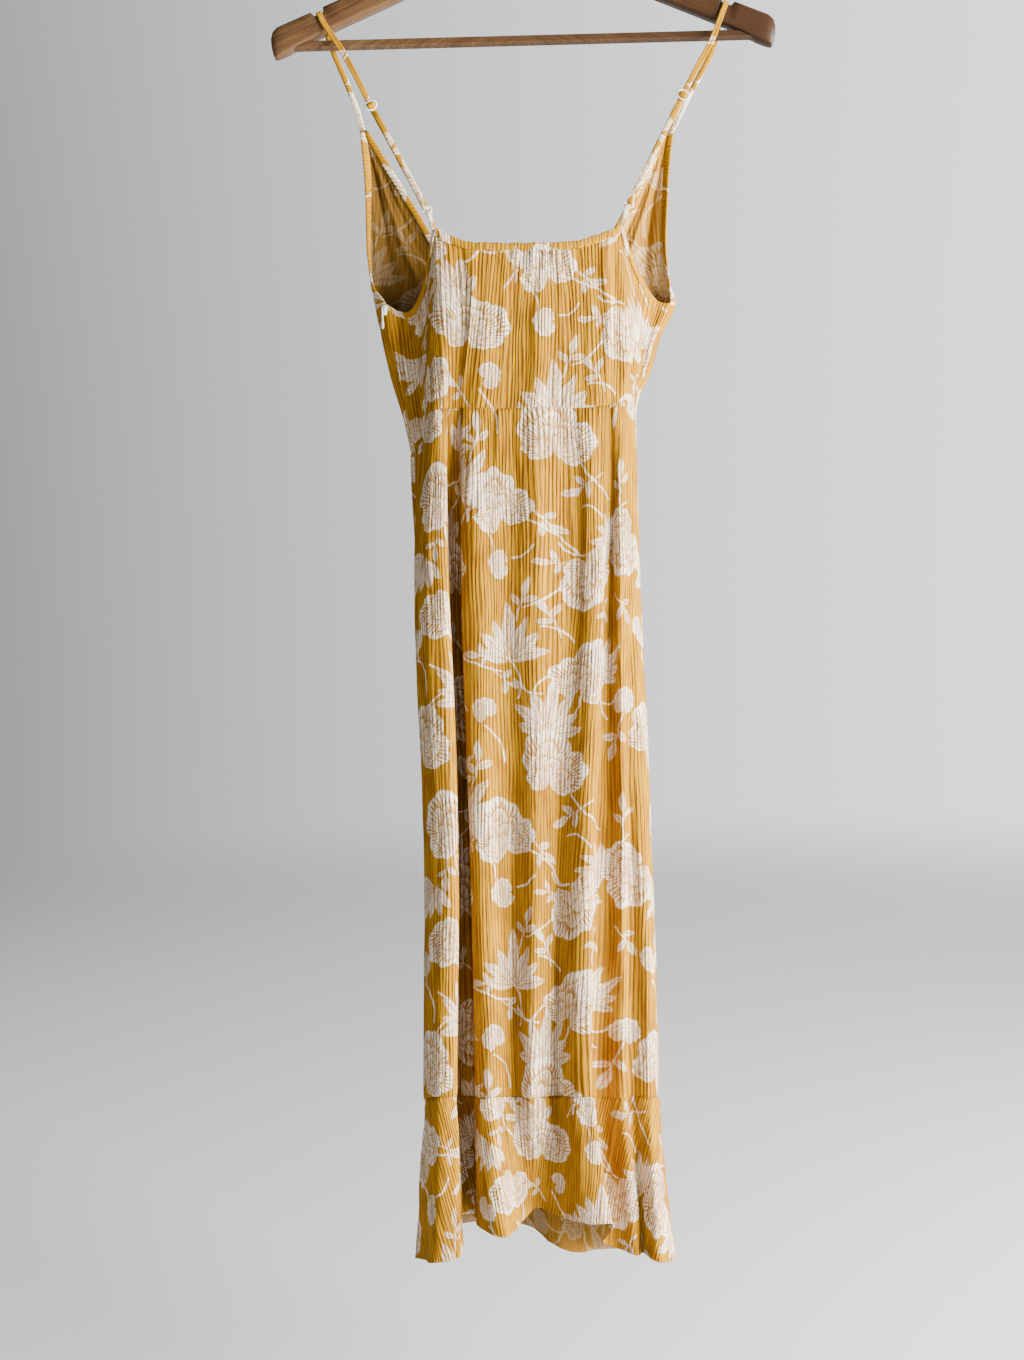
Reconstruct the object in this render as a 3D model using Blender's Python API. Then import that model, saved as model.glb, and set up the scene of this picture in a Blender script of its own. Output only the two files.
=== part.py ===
"""A strappy sundress with a flounce, hanging back outwards on a wooden hanger.

Metres, +Z up. The origin is the top of the inside of the hanger's hook, where a rail
holds it. -Y is the side that shows, the back of the dress, and +Y is its front, which
hangs behind. Each panel of cloth is a wall of even thickness along level sections: a
table gives each fold a row, with its place at a few heights, and a smooth curve runs
through the rows. Tables are in millimetres.
"""

import math

import bpy
import numpy as np

MM = 0.001

# Driving sizes, in millimetres
CLOTH = 1.2
BINDING = 0.7
GAP = 0.3
SEAM_GAP = 0.4
BINDING_WIDTH = 5.0
CASING_WIDTH = 6.0
HANGER_REACH = 224.1
HANGER_DEPTH = 12.4
HANGER_END_ROUND = 12.0
HANGER_END_FLAT = 0.03
HOOK_INNER_RADIUS = 19.0
HOOK_WIRE_RADIUS = 1.8
HOOK_ANGLES = (-62.0, 200.0)
HOOK_RINGS = 22
BAR_LEVEL = -164.7
BAR_HALF_HEIGHT = 3.3
BAR_HALF_DEPTH = 4.0
BAR_REACH = 195.0
STRAP_WIDTH = 5.0
STRAP_THICKNESS = 1.4
RING_RADIUS = 3.9
RING_WIRE_RADIUS = 0.7
SLIDER_BAR_RADIUS = 0.6
LOOP_POINTS = 16
ZIP_STATIONS = (0.02, 0.06, 0.1)
ZIP_TAPE_DEPTH = 3.0
ZIP_TAPE_HALF_WIDTH = 1.7
ZIP_TAPE_HALF_THICKNESS = 0.5
ZIP_ROWS = (4.0, 3.7, 3.0, 2.3, 1.6, 0.9, 0.3)
ZIP_SLIDER_OUT = 2.15
ZIP_SLIDER_DROP = 5.5
ZIP_SLIDER_HALF_WIDTH = 3.0
ZIP_SLIDER_HALF_DEPTH = 1.5
ZIP_SLIDER_LEVELS = (-4.2, -2.6, 0.0, 2.6, 4.2)
PULL_OUT = 2.9
PULL_DROP = 1.2

# How finely the curves are cut: steps in each span between folds, steps in each span of
# a strap's route, and the fractions of a panel's length that get a row of points.
BACK_STEPS = 3
FRONT_STEPS = 2
ROUTE_STEPS = 3
SKIRT_ROWS = (0.0, 0.05, 0.11, 0.18, 0.3, 0.46, 0.64, 0.84, 1.0)
FLOUNCE_ROWS = (0.0, 0.22, 0.48, 0.75, 1.0)
FRONT_SHARES = (0.05, 0.16, 0.32, 0.5, 0.7, 0.86)
SHARP_ANGLE = 50.0

# The flounce flares late: its spread grows with this power of the way down. A strip's
# cut across a sloping edge is at most this much longer than the strip is wide. The front
# pieces run into the skirt's own edge over their lowest rows, and their centre lies this
# share of the way between two folds of the front. Next to a seam, the direction of the
# cloth is read this share of a front piece further on.
FLARE_POWER = 1.25
STEEPEST_CUT = 2.6
WAIST_FADE_ROWS = 1.5
CENTRE_FRONT_SHARE = 0.67
NEIGHBOUR_SHARE = 0.03

# The zip's pull from the top down: level under its hinge, half width, half thickness.
PULL_SECTIONS = (
    (0.9, 0.7, 0.5),
    (-1.0, 0.8, 0.6),
    (-4.0, 0.8, 0.6),
    (-9.0, 1.1, 0.6),
    (-13.5, 1.5, 0.6),
    (-15.6, 0.9, 0.5),
)

# Folds of the skirt, round the dress from the left side seam along the back, then
# along the front. x and y are given where the fold leaves the waist seam, at the hip,
# at the knee and at the flounce seam; z is given for the two seams.
SKIRT_STATIONS = (0.0, 0.18, 0.64, 1.0)
SKIRT_COLUMNS = ("x_waist", "x_hip", "x_knee", "x_seam", "y_waist", "y_hip", "y_knee", "y_seam", "z_waist", "z_seam")
SKIRT_FOLDS = {
    "left_seam": (-106, -106, -105, -109, 8, 8, 6, 6, -524, -1100),
    "left_wing": (-102, -108, -107, -112, 6, 2, 0, 0, -519, -1099),
    "left_tuck": (-95, -106, -106, -111, 2, -8, -9, -9, -510, -1096),
    "left_edge": (-93, -101, -101, -106, -18, -19, -20, -21, -498, -1091),
    "left_ridge": (-86, -91, -91, -96, -28, -29, -31, -32, -495, -1087),
    "left_lip": (-77, -79, -77, -83, -29, -30, -30, -30, -494, -1088),
    "gulley_left": (-73, -77, -76, -81, -25, -5, 5, 7, -494, -1099),
    "gulley_right": (-65, -69, -67, -70, -25, -3, 7, 9, -494, -1100),
    "back_lip": (-60, -64, -65, -65, -28, -25, -22, -18, -494, -1093),
    "ridge_1": (-48, -50, -57, -54, -31, -31, -30, -28, -495, -1090),
    "valley_1": (-26, -26, -28, -31, -30, -27, -20, -15, -496, -1094),
    "ridge_2": (1, -2, -8, -17, -33, -32, -31, -27, -496, -1092),
    "valley_2": (30, 31, 11, 6, -31, -26, -19, -9, -497, -1096),
    "ridge_3": (50, 50, 30, 21, -32, -31, -31, -33, -497, -1090),
    "right_lip": (59, 57, 39, 35, -31, -29, -31, -34, -496, -1090),
    "under_lip": (65, 62, 47, 32, -29, -24, -16, -12, -495, -1097),
    "right_valley": (70, 66, 58, 45, -29, -22, -14, -3, -494, -1100),
    "right_ridge": (75, 71, 67, 61, -28, -27, -22, -14, -492, -1098),
    "right_dip": (81, 77, 74, 72, -25, -22, -15, -8, -490, -1098),
    "right_side": (87, 85, 87, 85, -16, -15, -15, -14, -491, -1098),
    "right_tuck": (90, 90, 94, 93, -6, -4, -4, -4, -502, -1101),
    "right_seam": (90, 91, 95, 95, 5, 6, 7, 8, -521, -1104),
    "right_turn": (91, 89, 93, 94, 12, 13, 15, 17, -525, -1107),
    "front_side_right": (84, 82, 83, 84, 17, 19, 22, 24, -525, -1109),
    "front_1": (60, 62, 64, 65, 21, 26, 31, 34, -525, -1111),
    "front_2": (35, 36, 36, 37, 18, 21, 23, 25, -525, -1110),
    "front_3": (10, 12, 16, 18, 21, 26, 31, 33, -525, -1110),
    "front_4": (-14, -12, -8, -4, 19, 22, 26, 28, -525, -1111),
    "front_5": (-36, -35, -30, -27, 21, 26, 30, 32, -525, -1110),
    "front_6": (-60, -60, -57, -55, 19, 25, 33, 36, -525, -1110),
    "front_7": (-86, -86, -85, -86, 20, 24, 28, 30, -525, -1109),
    "front_side_left": (-104, -105, -105, -106, 18, 19, 20, 21, -525, -1107),
    "left_turn": (-110, -108, -107, -111, 13, 13, 12, 12, -525, -1104),
}
FOLD_NAMES = list(SKIRT_FOLDS)
BACK_FOLDS = FOLD_NAMES.index("right_seam") + 1

# The free hem of the flounce, a row for each fold above.
HEM_COLUMNS = ("x", "y", "z")
HEM = {
    "left_seam": (-121, 12, -1243),
    "left_wing": (-124, 5, -1241),
    "left_tuck": (-122, -3, -1238),
    "left_edge": (-114, -15, -1234),
    "left_ridge": (-106, -36, -1228),
    "left_lip": (-82, -35, -1223),
    "gulley_left": (-84, 6, -1206),
    "gulley_right": (-71, 10, -1205),
    "back_lip": (-66, -27, -1201),
    "ridge_1": (-45, -46, -1203),
    "valley_1": (-26, -14, -1200),
    "ridge_2": (-15, -1, -1197),
    "valley_2": (3, -9, -1200),
    "ridge_3": (27, -30, -1200),
    "right_lip": (50, -31, -1201),
    "under_lip": (43, -8, -1226),
    "right_valley": (53, 0, -1234),
    "right_ridge": (70, -8, -1238),
    "right_dip": (78, 4, -1241),
    "right_side": (87, -17, -1240),
    "right_tuck": (99, -12, -1243),
    "right_seam": (107, 4, -1246),
    "right_turn": (106, 14, -1250),
    "front_side_right": (98, 22, -1252),
    "front_1": (76, 38, -1254),
    "front_2": (42, 23, -1246),
    "front_3": (17, 12, -1243),
    "front_4": (-5, 18, -1236),
    "front_5": (-20, 38, -1231),
    "front_6": (-50, 38, -1224),
    "front_7": (-88, 27, -1222),
    "front_side_left": (-112, 28, -1234),
    "left_turn": (-121, 20, -1242),
}

# The back bodice, a row for each fold it shares with the skirt: its top edge, which
# runs up from both underarms to the strap corners, and its section half way down.
BODICE_COLUMNS = ("x_top", "y_top", "z_top", "x_middle", "y_middle")
BACK_BODICE = {
    "left_seam": (-128, -3, -396, -119, 2),
    "left_wing": (-118, 1, -401, -111, 4),
    "left_tuck": (-106, 1, -401, -101, 2),
    "left_edge": (-93, -12, -381, -92, -12),
    "left_ridge": (-86, -23, -352, -87, -24),
    "left_lip": (-82, -28, -339, -79, -29),
    "gulley_left": (-72, -30, -345, -71, -30),
    "gulley_right": (-61, -31, -350, -61, -31),
    "back_lip": (-48, -32, -353.5, -52, -31),
    "ridge_1": (-34, -33, -354.5, -40, -33),
    "valley_1": (-14, -33, -355.5, -20, -32),
    "ridge_2": (8, -34, -356, 5, -34),
    "valley_2": (28, -33, -355.5, 30, -32),
    "ridge_3": (46, -32, -353.5, 48, -33),
    "right_lip": (57, -31, -350, 58, -32),
    "under_lip": (65, -30.5, -347, 65, -31),
    "right_valley": (73, -29.5, -343.5, 71, -30),
    "right_ridge": (79.5, -27, -340, 77, -29),
    "right_dip": (84, -22, -351, 83, -25),
    "right_side": (94, -11, -372, 90, -13),
    "right_tuck": (110, 1, -396, 97, -2),
    "right_seam": (124, 2, -401, 101, 3),
}
LEFT_CORNER = FOLD_NAMES.index("left_lip")
RIGHT_CORNER = FOLD_NAMES.index("right_ridge")

# Each front bodice piece in sections from the waist up to the point where the strap
# is sewn on. Outer is the side seam, then the armhole; inner is the centre front seam,
# then the neckline. Turn and belly are two places between them.
FRONT_COLUMNS = (
    "outer_x", "outer_y", "outer_z", "turn_x", "turn_y",
    "belly_x", "belly_y", "inner_x", "inner_y", "inner_z",
)
FRONT_LEFT = {
    "waist": (-106, 8, -524, -111, 14, -60, 20, -6, 19, -525),
    "rise": (-113, 5, -487, -117.5, 13, -61, 22, -6, 17, -490),
    "neck_point": (-119, 2, -456, -125, 12, -66, 22, -6.2, 16, -470),
    "below_arm": (-124, -1, -426, -131.5, 9, -81, 19, -31, 14, -427),
    "underarm": (-128, -3, -396, -137, 7, -96, 17, -50, 13, -394),
    "corner": (-139, 4, -377, -140.5, 8, -103, 16, -60, 12.5, -377),
    "chest": (-143, 6, -345, -141, 9, -113, 14.5, -79, 12, -345),
    "upper_chest": (-143.5, 7, -290, -141, 9, -128, 12, -110, 10, -290),
    "point": (-146.4, 8, -236, -145.3, 8.3, -144, 8.5, -141, 8, -237),
}
FRONT_RIGHT = {
    "waist": (90, 5, -521, 92, 12, 45, 20, -5.2, 19, -525),
    "rise": (91, 4, -487, 93.5, 12, 46, 22, -5.2, 17, -490),
    "neck_point": (102, 3, -458, 106.5, 11, 53, 22, -5, 16, -470),
    "below_arm": (110.5, 3, -430, 115, 9, 67, 19, 20, 14, -427),
    "underarm": (124, 2, -401, 129.5, 8, 84, 17, 39, 13, -394),
    "corner": (124, 5, -380, 124, 8.5, 88, 16, 49, 12.5, -377),
    "chest": (122, 6, -345, 120.5, 9, 95, 14.5, 68, 12, -345),
    "upper_chest": (125.5, 7, -292, 124, 9, 112, 12, 99, 10, -292),
    "point": (132, 8, -238, 131, 8.3, 129.5, 8.5, 126.5, 8, -239),
}
FRONT_KNOTS = (0.0, 0.08, 0.5, 1.0)
FRONTS = {"left": FRONT_LEFT, "right": FRONT_RIGHT}

# Rows of the bodice: fractions from the waist to the top edge, which the front pieces
# share up to the underarm, their row number 4, and then the front's rows above it.
BODICE_HEIGHTS = np.array([0.0, 0.25, 0.5, 0.58, 0.75, 0.96, 1.0])
UNDERARM_ROW = 4.0
ROWS_ABOVE_UNDERARM = np.array([4.18, 4.5, 5.0, 5.5, 6.0, 6.5, 7.0, 7.4, 7.8, 8.0])
NECK_BINDING_ROW = 3
UNDERARM_CLEARANCE = 2.6

# Each shoulder strap, x, y and z: from the front bodice's point up to the hanger's arm,
# then, past the arm, down towards the slider; and the middles of its slider and ring
# and the corner of the back bodice that the ring hangs from.
STRAPS = {
    "left": {
        "sewn_end": (-144.0, 10.1, -243.0),
        "rise": (-149.6, 9.9, -218.6),
        "half_way": (-159.0, 9.4, -192.5),
        "below_arm": (-168.6, 9.0, -168.5),
        "behind_arm": (-161.5, -10.4, -170.5),
        "above_slider": (-145.0, -15.2, -204.0),
        "slider": (-134.5, -18.0, -226.5),
        "ring": (-87.6, -27.0, -322.5),
        "corner": (-82.2, -28.0, -336.9),
    },
    "right": {
        "sewn_end": (130.2, 9.95, -245.0),
        "rise": (142.0, 9.6, -221.5),
        "half_way": (156.0, 9.4, -196.5),
        "below_arm": (168.5, 9.0, -173.0),
        "behind_arm": (165.0, -10.4, -174.0),
        "above_slider": (148.0, -15.2, -204.0),
        "slider": (137.5, -18.0, -224.4),
        "ring": (87.0, -26.4, -321.0),
        "corner": (80.2, -27.0, -337.9),
    },
}

# The strap over the arm: depth from the arm's middle plane, height over its middle line.
STRAP_OVER = (
    (7.7, -4.0),
    (7.4, 3.9),
    (5.9, 6.7),
    (0.0, 7.0),
    (-5.9, 6.7),
    (-7.4, 3.9),
    (-7.7, -4.0),
)

# The strap through its slider, round its ring and back up to where it is sewn to the
# slider's bar: the piece it is measured from, how far below its middle and how far out.
STRAP_WEAVE = (
    ("slider", -4.2, -1.7),
    ("slider", 0.0, 1.7),
    ("slider", 4.2, -1.7),
    ("slider", 12.0, 1.2),
    ("ring", -33.9, 1.7),
    ("ring", -11.9, 2.3),
    ("ring", -3.9, 2.6),
    ("ring", -2.0, 1.9),
    ("ring", -1.3, 0.0),
    ("ring", -2.0, -1.9),
    ("ring", -3.9, -2.6),
    ("ring", -11.9, -2.3),
    ("ring", -33.9, -1.9),
    ("slider", 14.0, -2.4),
    ("slider", 5.0, -3.4),
    ("slider", 1.2, -2.0),
)
SLIDER_HALF_WIDTH = 5.3
SLIDER_HALF_HEIGHT = 4.2

# The tab through the ring, measured from the ring's middle in the same way.
TAB_LOOP = ((3.9, 2.3), (2.2, 1.7), (1.6, 0.0), (2.2, -1.7), (3.9, -2.3))
TAB_SPREAD = 1.3
TAB_HALF_WIDTH = 2.1
TAB_HALF_THICKNESS = 0.6
SHOULDER_SLOPE = 23.0

# How far each part of the hanger's arm lies from the middle: distance, level of its
# middle line, half its height. The arms reach HANGER_REACH to each side, which makes the
# hanger 445 mm wide over its leaning ends.
ARM_COLUMNS = ("x", "z", "half_height")
ARM_STATIONS = {
    "middle": (0.0, -74.0, 13.0),
    "shoulder": (48.0, -84.0, 11.5),
    "slope": (105.0, -113.0, 10.0),
    "above_notch": (168.0, -140.3, 9.9),
    "below_notch": (190.0, -149.8, 10.2),
    "tip": (212.0, -160.0, 11.2),
}
ARM_TIP_SLOPE = 0.45
ARM_PLACES = (
    0.0, 20.0, 40.0, 60.0, 80.0, 100.0, 120.0, 140.0, 160.0, 169.0, 171.9, 173.7, 177.5, 181.3,
    183.1, 190.0, 199.0, 207.0, 212.1, 217.1, 220.6, 222.9, HANGER_REACH,
)
NOTCH_PLACE = 177.5
NOTCH_HALF_WIDTH = 5.5
NOTCH_DEPTH = 4.5
NOTCH_SIDE_SLOPE = 3.2
STRAP_REACH = 177.0

# Eight corners of the wooden arm's section and of the bar's, as shares of their half
# depth and half height.
ARM_SECTION = ((1, -0.82), (1, 0.82), (0.86, 1), (-0.86, 1), (-1, 0.82), (-1, -0.82), (-0.86, -1), (0.86, -1))
BAR_SECTION = ((1, -0.7), (1, 0.7), (0.75, 1), (-0.75, 1), (-1, 0.7), (-1, -0.7), (-0.75, -1), (0.75, -1))
BAR_END_SLANT = 2.2

PAINTS = {
    "printed_crepe": ((0.68, 0.39, 0.085, 1.0), 0.8, 0.0),
    "binding_cloth": ((0.62, 0.36, 0.09, 1.0), 0.8, 0.0),
    "oak": ((0.34, 0.19, 0.09, 1.0), 0.45, 0.0),
    "steel": ((0.62, 0.62, 0.62, 1.0), 0.25, 1.0),
    "white_enamel": ((0.86, 0.83, 0.77, 1.0), 0.3, 0.0),
    "zip_tape": ((0.74, 0.52, 0.2, 1.0), 0.8, 0.0),
}


def clear_scene():
    for old in list(bpy.data.objects):
        bpy.data.objects.remove(old, do_unlink=True)


def material(name):
    """A Principled material with the colour, roughness and metallic value in PAINTS."""
    found = bpy.data.materials.get(name)
    if found:
        return found
    colour, roughness, metallic = PAINTS[name]
    made = bpy.data.materials.new(name)
    made.use_nodes = True
    shader = made.node_tree.nodes["Principled BSDF"]
    shader.inputs["Base Color"].default_value = colour
    shader.inputs["Roughness"].default_value = roughness
    shader.inputs["Metallic"].default_value = metallic
    return made


def finish(name, mesh, paint):
    mesh.shade_smooth()
    mesh.set_sharp_from_angle(angle=math.radians(SHARP_ANGLE))
    mesh.materials.append(material(paint))
    piece = bpy.data.objects.new(name, mesh)
    bpy.context.scene.collection.objects.link(piece)
    return piece


def solid_from(name, points, triangles, paint):
    """A closed body from points in millimetres; its faces are turned over if they point in."""
    points = np.asarray(points, float)
    corners = points[triangles]
    volume = (corners[:, 0] * np.cross(corners[:, 1], corners[:, 2])).sum()
    if volume < 0:
        triangles = triangles[:, ::-1]
    mesh = bpy.data.meshes.new(name)
    mesh.from_pydata((points * MM).tolist(), [], triangles.tolist())
    return finish(name, mesh, paint)


def unit(vectors):
    return vectors / np.maximum(np.linalg.norm(vectors, axis=-1, keepdims=True), 1e-9)


def through(knots, values, at):
    """A cubic curve through the values at the knots, read at the places `at`."""
    knots = np.asarray(knots, float)
    values = np.asarray(values, float)
    at = np.asarray(at, float)
    slopes = np.gradient(values, knots, axis=0)
    i = np.clip(np.searchsorted(knots, at, side="right") - 1, 0, len(knots) - 2)
    wide = (-1,) + (1,) * (values.ndim - 1)
    step = (knots[i + 1] - knots[i]).reshape(wide)
    t = ((at - knots[i]) / (knots[i + 1] - knots[i])).reshape(wide)
    start = (1 + 2 * t) * (1 - t) ** 2
    end = t * t * (3 - 2 * t)
    leave = t * (1 - t) ** 2 * step
    arrive = t * t * (t - 1) * step
    return start * values[i] + end * values[i + 1] + leave * slopes[i] + arrive * slopes[i + 1]


def table(rows, columns, *names):
    """The named columns of a table, in the order they are asked for."""
    marks = np.array(list(rows.values()), float)
    return marks[:, [columns.index(name) for name in names]]


def fold_points(rows, stations):
    """Skirt folds at fractions of its length: an array of station, fold and x, y, z."""
    x = table(rows, SKIRT_COLUMNS, "x_waist", "x_hip", "x_knee", "x_seam")
    y = table(rows, SKIRT_COLUMNS, "y_waist", "y_hip", "y_knee", "y_seam")
    top, bottom = table(rows, SKIRT_COLUMNS, "z_waist", "z_seam").T
    level = through(SKIRT_STATIONS, np.stack([x.T, y.T], axis=-1), stations)
    z = top + (bottom - top) * np.asarray(stations)[:, None]
    return np.concatenate([level, z[..., None]], axis=-1)


def ring_knots():
    """Where the folds lie along the ring: distances that grow with the root of each span."""
    waist = fold_points(SKIRT_FOLDS, (0.0, 0.5)).mean(axis=0)
    spans = np.sqrt(np.linalg.norm(np.roll(waist, -1, axis=0) - waist, axis=1))
    return np.concatenate([[0.0], np.cumsum(spans)])


def spread_round(folds, knots, places):
    """The closed ring of each section at places along it, from its folds' points."""
    total = knots[-1]
    inner = knots[:-1]
    ringed = np.concatenate([inner[-2:] - total, inner, inner[:2] + total])
    padded = np.concatenate([folds[:, -2:], folds, folds[:, :2]], axis=1)
    return np.moveaxis(through(ringed, np.moveaxis(padded, 1, 0), places), 0, 1)


def places_between(knots, first, last, steps):
    """Even steps inside each span of the ring, from one fold to another."""
    spans = [np.linspace(knots[i], knots[i + 1], steps, endpoint=False) for i in range(first, last)]
    return np.concatenate(spans + [[knots[last]]])


def level_normals(grid, before=None, after=None):
    """Level directions out of the cloth, square to each section's own line."""
    left = grid[:, :1] if before is None else before[:, None]
    right = grid[:, -1:] if after is None else after[:, None]
    padded = np.concatenate([left, grid, right], axis=1)
    along = unit((padded[:, 2:] - padded[:, :-2]) * (1.0, 1.0, 0.0))
    return np.stack([along[..., 1], -along[..., 0], np.zeros(along.shape[:2])], axis=-1)


def pull_in(grid, ends=(True, True), rows=(True, True)):
    """The grid with its chosen edges drawn in by half a seam gap."""
    out = grid.copy()
    half = SEAM_GAP / 2
    if ends[0]:
        out[:, 0] += unit(grid[:, 1] - grid[:, 0]) * half
    if ends[1]:
        out[:, -1] += unit(grid[:, -2] - grid[:, -1]) * half
    if rows[0]:
        out[0, :, 2] += half * np.sign(grid[1, :, 2] - grid[0, :, 2])
    if rows[1]:
        out[-1, :, 2] += half * np.sign(grid[-2, :, 2] - grid[-1, :, 2])
    return out


def wall(name, outer, inner, paint, crossed=()):
    """A closed wall between two grids of points: both faces and the rim round them.

    Each cell is cut along one diagonal, and along the other in the rows named in crossed.
    """
    rows, columns = outer.shape[:2]
    count = rows * columns
    index = np.arange(count).reshape(rows, columns)
    faces = []
    for row in range(rows - 1):
        a, b = index[row, :-1], index[row, 1:]
        d, c = index[row + 1, :-1], index[row + 1, 1:]
        if row in crossed:
            faces += [np.stack([a, b, d], 1), np.stack([b, c, d], 1)]
        else:
            faces += [np.stack([a, b, c], 1), np.stack([a, c, d], 1)]
    face = np.concatenate(faces)
    border = np.concatenate([index[0, :-1], index[:-1, -1], index[-1, :0:-1], index[:0:-1, 0]])
    following = np.roll(border, -1)
    rim = np.concatenate([
        np.stack([following, border, border + count], 1),
        np.stack([following, border + count, following + count], 1),
    ])
    triangles = np.concatenate([face, face[:, ::-1] + count, rim])
    points = np.concatenate([outer.reshape(-1, 3), inner.reshape(-1, 3)])
    return solid_from(name, points, triangles, paint)


def panel(name, grid, normals, paint="printed_crepe"):
    return wall(name, grid + normals * CLOTH / 2, grid - normals * CLOTH / 2, paint)


def binding(name, edge, inside, normals_edge, normals_inside, out, crossed):
    """A strip folded over a raw edge: down one face of the cloth, over it, down the other.

    Its cells are cut along the same diagonals as those of the cloth that it lies on.
    """
    near = CLOTH / 2 + GAP
    far = near + BINDING
    over = edge + out * GAP
    top = edge + out * (GAP + BINDING)
    outer = np.stack([
        inside + normals_inside * far,
        top + normals_edge * far,
        top - normals_edge * far,
        inside - normals_inside * far,
    ])
    inner = np.stack([
        inside + normals_inside * near,
        over + normals_edge * near,
        over - normals_edge * near,
        inside - normals_inside * near,
    ])
    return wall(name, outer, inner, "binding_cloth", crossed)


def edge_frame(edge, normals):
    """Directions square to an edge and to the cloth's normals, pointing up and off it."""
    along = unit(np.gradient(edge, axis=0))
    out = unit(np.cross(normals, along))
    return out * np.sign(out[:, 2:3])


def tube(name, path, half_width, half_thickness, paint, across=None, sides=8, ends=1.0):
    """A flat oval section carried along a path, with rounded closed ends.

    The section's wide way is `across`, made square to the path, and its thin way is
    square to both.
    """
    path = np.asarray(path, float)
    along = unit(np.gradient(path, axis=0))
    if across is None:
        across = np.tile([0.0, 1.0, 0.0], (len(path), 1))
    across = unit(across - along * (across * along).sum(axis=1, keepdims=True))
    thin = np.cross(along, across)
    size = np.ones(len(path))
    size[0] = size[-1] = ends
    angle = np.arange(sides) * 2 * np.pi / sides
    width = (half_width * size)[:, None, None] * np.cos(angle)[None, :, None]
    depth = (half_thickness * size)[:, None, None] * np.sin(angle)[None, :, None]
    rings = path[:, None] + width * across[:, None] + depth * thin[:, None]
    return capped(name, rings, path[0], path[-1], paint)


def capped(name, rings, first, last, paint):
    """A closed body from rings of points in order, with a point in front and one behind."""
    count, sides = rings.shape[:2]
    points = np.concatenate([rings.reshape(-1, 3), [first], [last]])
    step = np.arange(sides)
    after = (step + 1) % sides
    base = (count - 1) * sides
    front = np.stack([np.full(sides, len(points) - 2), after, step], 1)
    back = np.stack([np.full(sides, len(points) - 1), base + step, base + after], 1)
    triangles = np.concatenate([ring_sides(count, sides, closed=False), front, back])
    return solid_from(name, points, triangles, paint)


def ring_sides(rings, sides, closed):
    """Triangles between neighbouring rings of a tube; a closed tube joins its last to its first."""
    step = np.arange(sides)
    after = (step + 1) % sides
    spans = rings if closed else rings - 1
    faces = []
    for i in range(spans):
        a = i * sides
        b = ((i + 1) % rings) * sides
        faces.append(np.stack([a + step, a + after, b + after], 1))
        faces.append(np.stack([a + step, b + after, b + step], 1))
    return np.concatenate(faces)


def loop(name, path, radius, paint, sides=8):
    """A closed round wire along a closed path."""
    path = np.asarray(path, float)
    along = unit(np.roll(path, -1, axis=0) - np.roll(path, 1, axis=0))
    normal = unit(np.cross(path[0] - path.mean(axis=0), along[0]))
    outward = np.cross(along, normal)
    angle = np.arange(sides) * 2 * np.pi / sides
    rings = path[:, None] + radius * (
        np.cos(angle)[None, :, None] * outward[:, None] + np.sin(angle)[None, :, None] * normal
    )
    return solid_from(name, rings.reshape(-1, 3), ring_sides(len(path), sides, closed=True), paint)


def smooth_route(points, steps):
    """More points along a smooth curve through a route's own points."""
    points = np.asarray(points, float)
    length = np.concatenate([[0.0], np.cumsum(np.sqrt(np.linalg.norm(np.diff(points, axis=0), axis=1)))])
    spans = [np.linspace(length[i], length[i + 1], steps, endpoint=False) for i in range(len(points) - 1)]
    return through(length, points, np.concatenate(spans + [length[-1:]]))


def make_skirt(knots):
    """The back and front skirt panels, in one closed set of sections."""
    make_half_tubes("skirt", fold_points(SKIRT_FOLDS, SKIRT_ROWS), knots)


def make_flounce(knots):
    """The back and front flounces, which flare from the skirt's edge to their hem."""
    top = fold_points(SKIRT_FOLDS, (1.0,))[0]
    hem = table(HEM, HEM_COLUMNS, "x", "y", "z")
    shares = np.array(FLOUNCE_ROWS)[:, None, None]
    flare = shares ** FLARE_POWER
    folds = top * (1 - flare) + hem * flare
    folds[..., 2] = (top * (1 - shares) + hem * shares)[..., 2]
    make_half_tubes("flounce", folds, knots, free_hem=True)


def make_half_tubes(kind, folds, knots, free_hem=False):
    """Back and front panels cut from one closed set of sections at the two side seams."""
    back_places = places_between(knots, 0, BACK_FOLDS - 1, BACK_STEPS)
    front_places = places_between(knots, BACK_FOLDS - 1, len(knots) - 1, FRONT_STEPS)
    rows = (True, not free_hem)
    for side, places in (("back", back_places), ("front", front_places)):
        grid = spread_round(folds, knots, places)
        before = spread_round(folds, knots, places[:1] - 0.4)[:, 0]
        after = spread_round(folds, knots, places[-1:] + 0.4)[:, 0]
        normals = level_normals(grid, before, after)
        panel(f"{side}_{kind}", pull_in(grid, rows=rows), normals)


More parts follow.
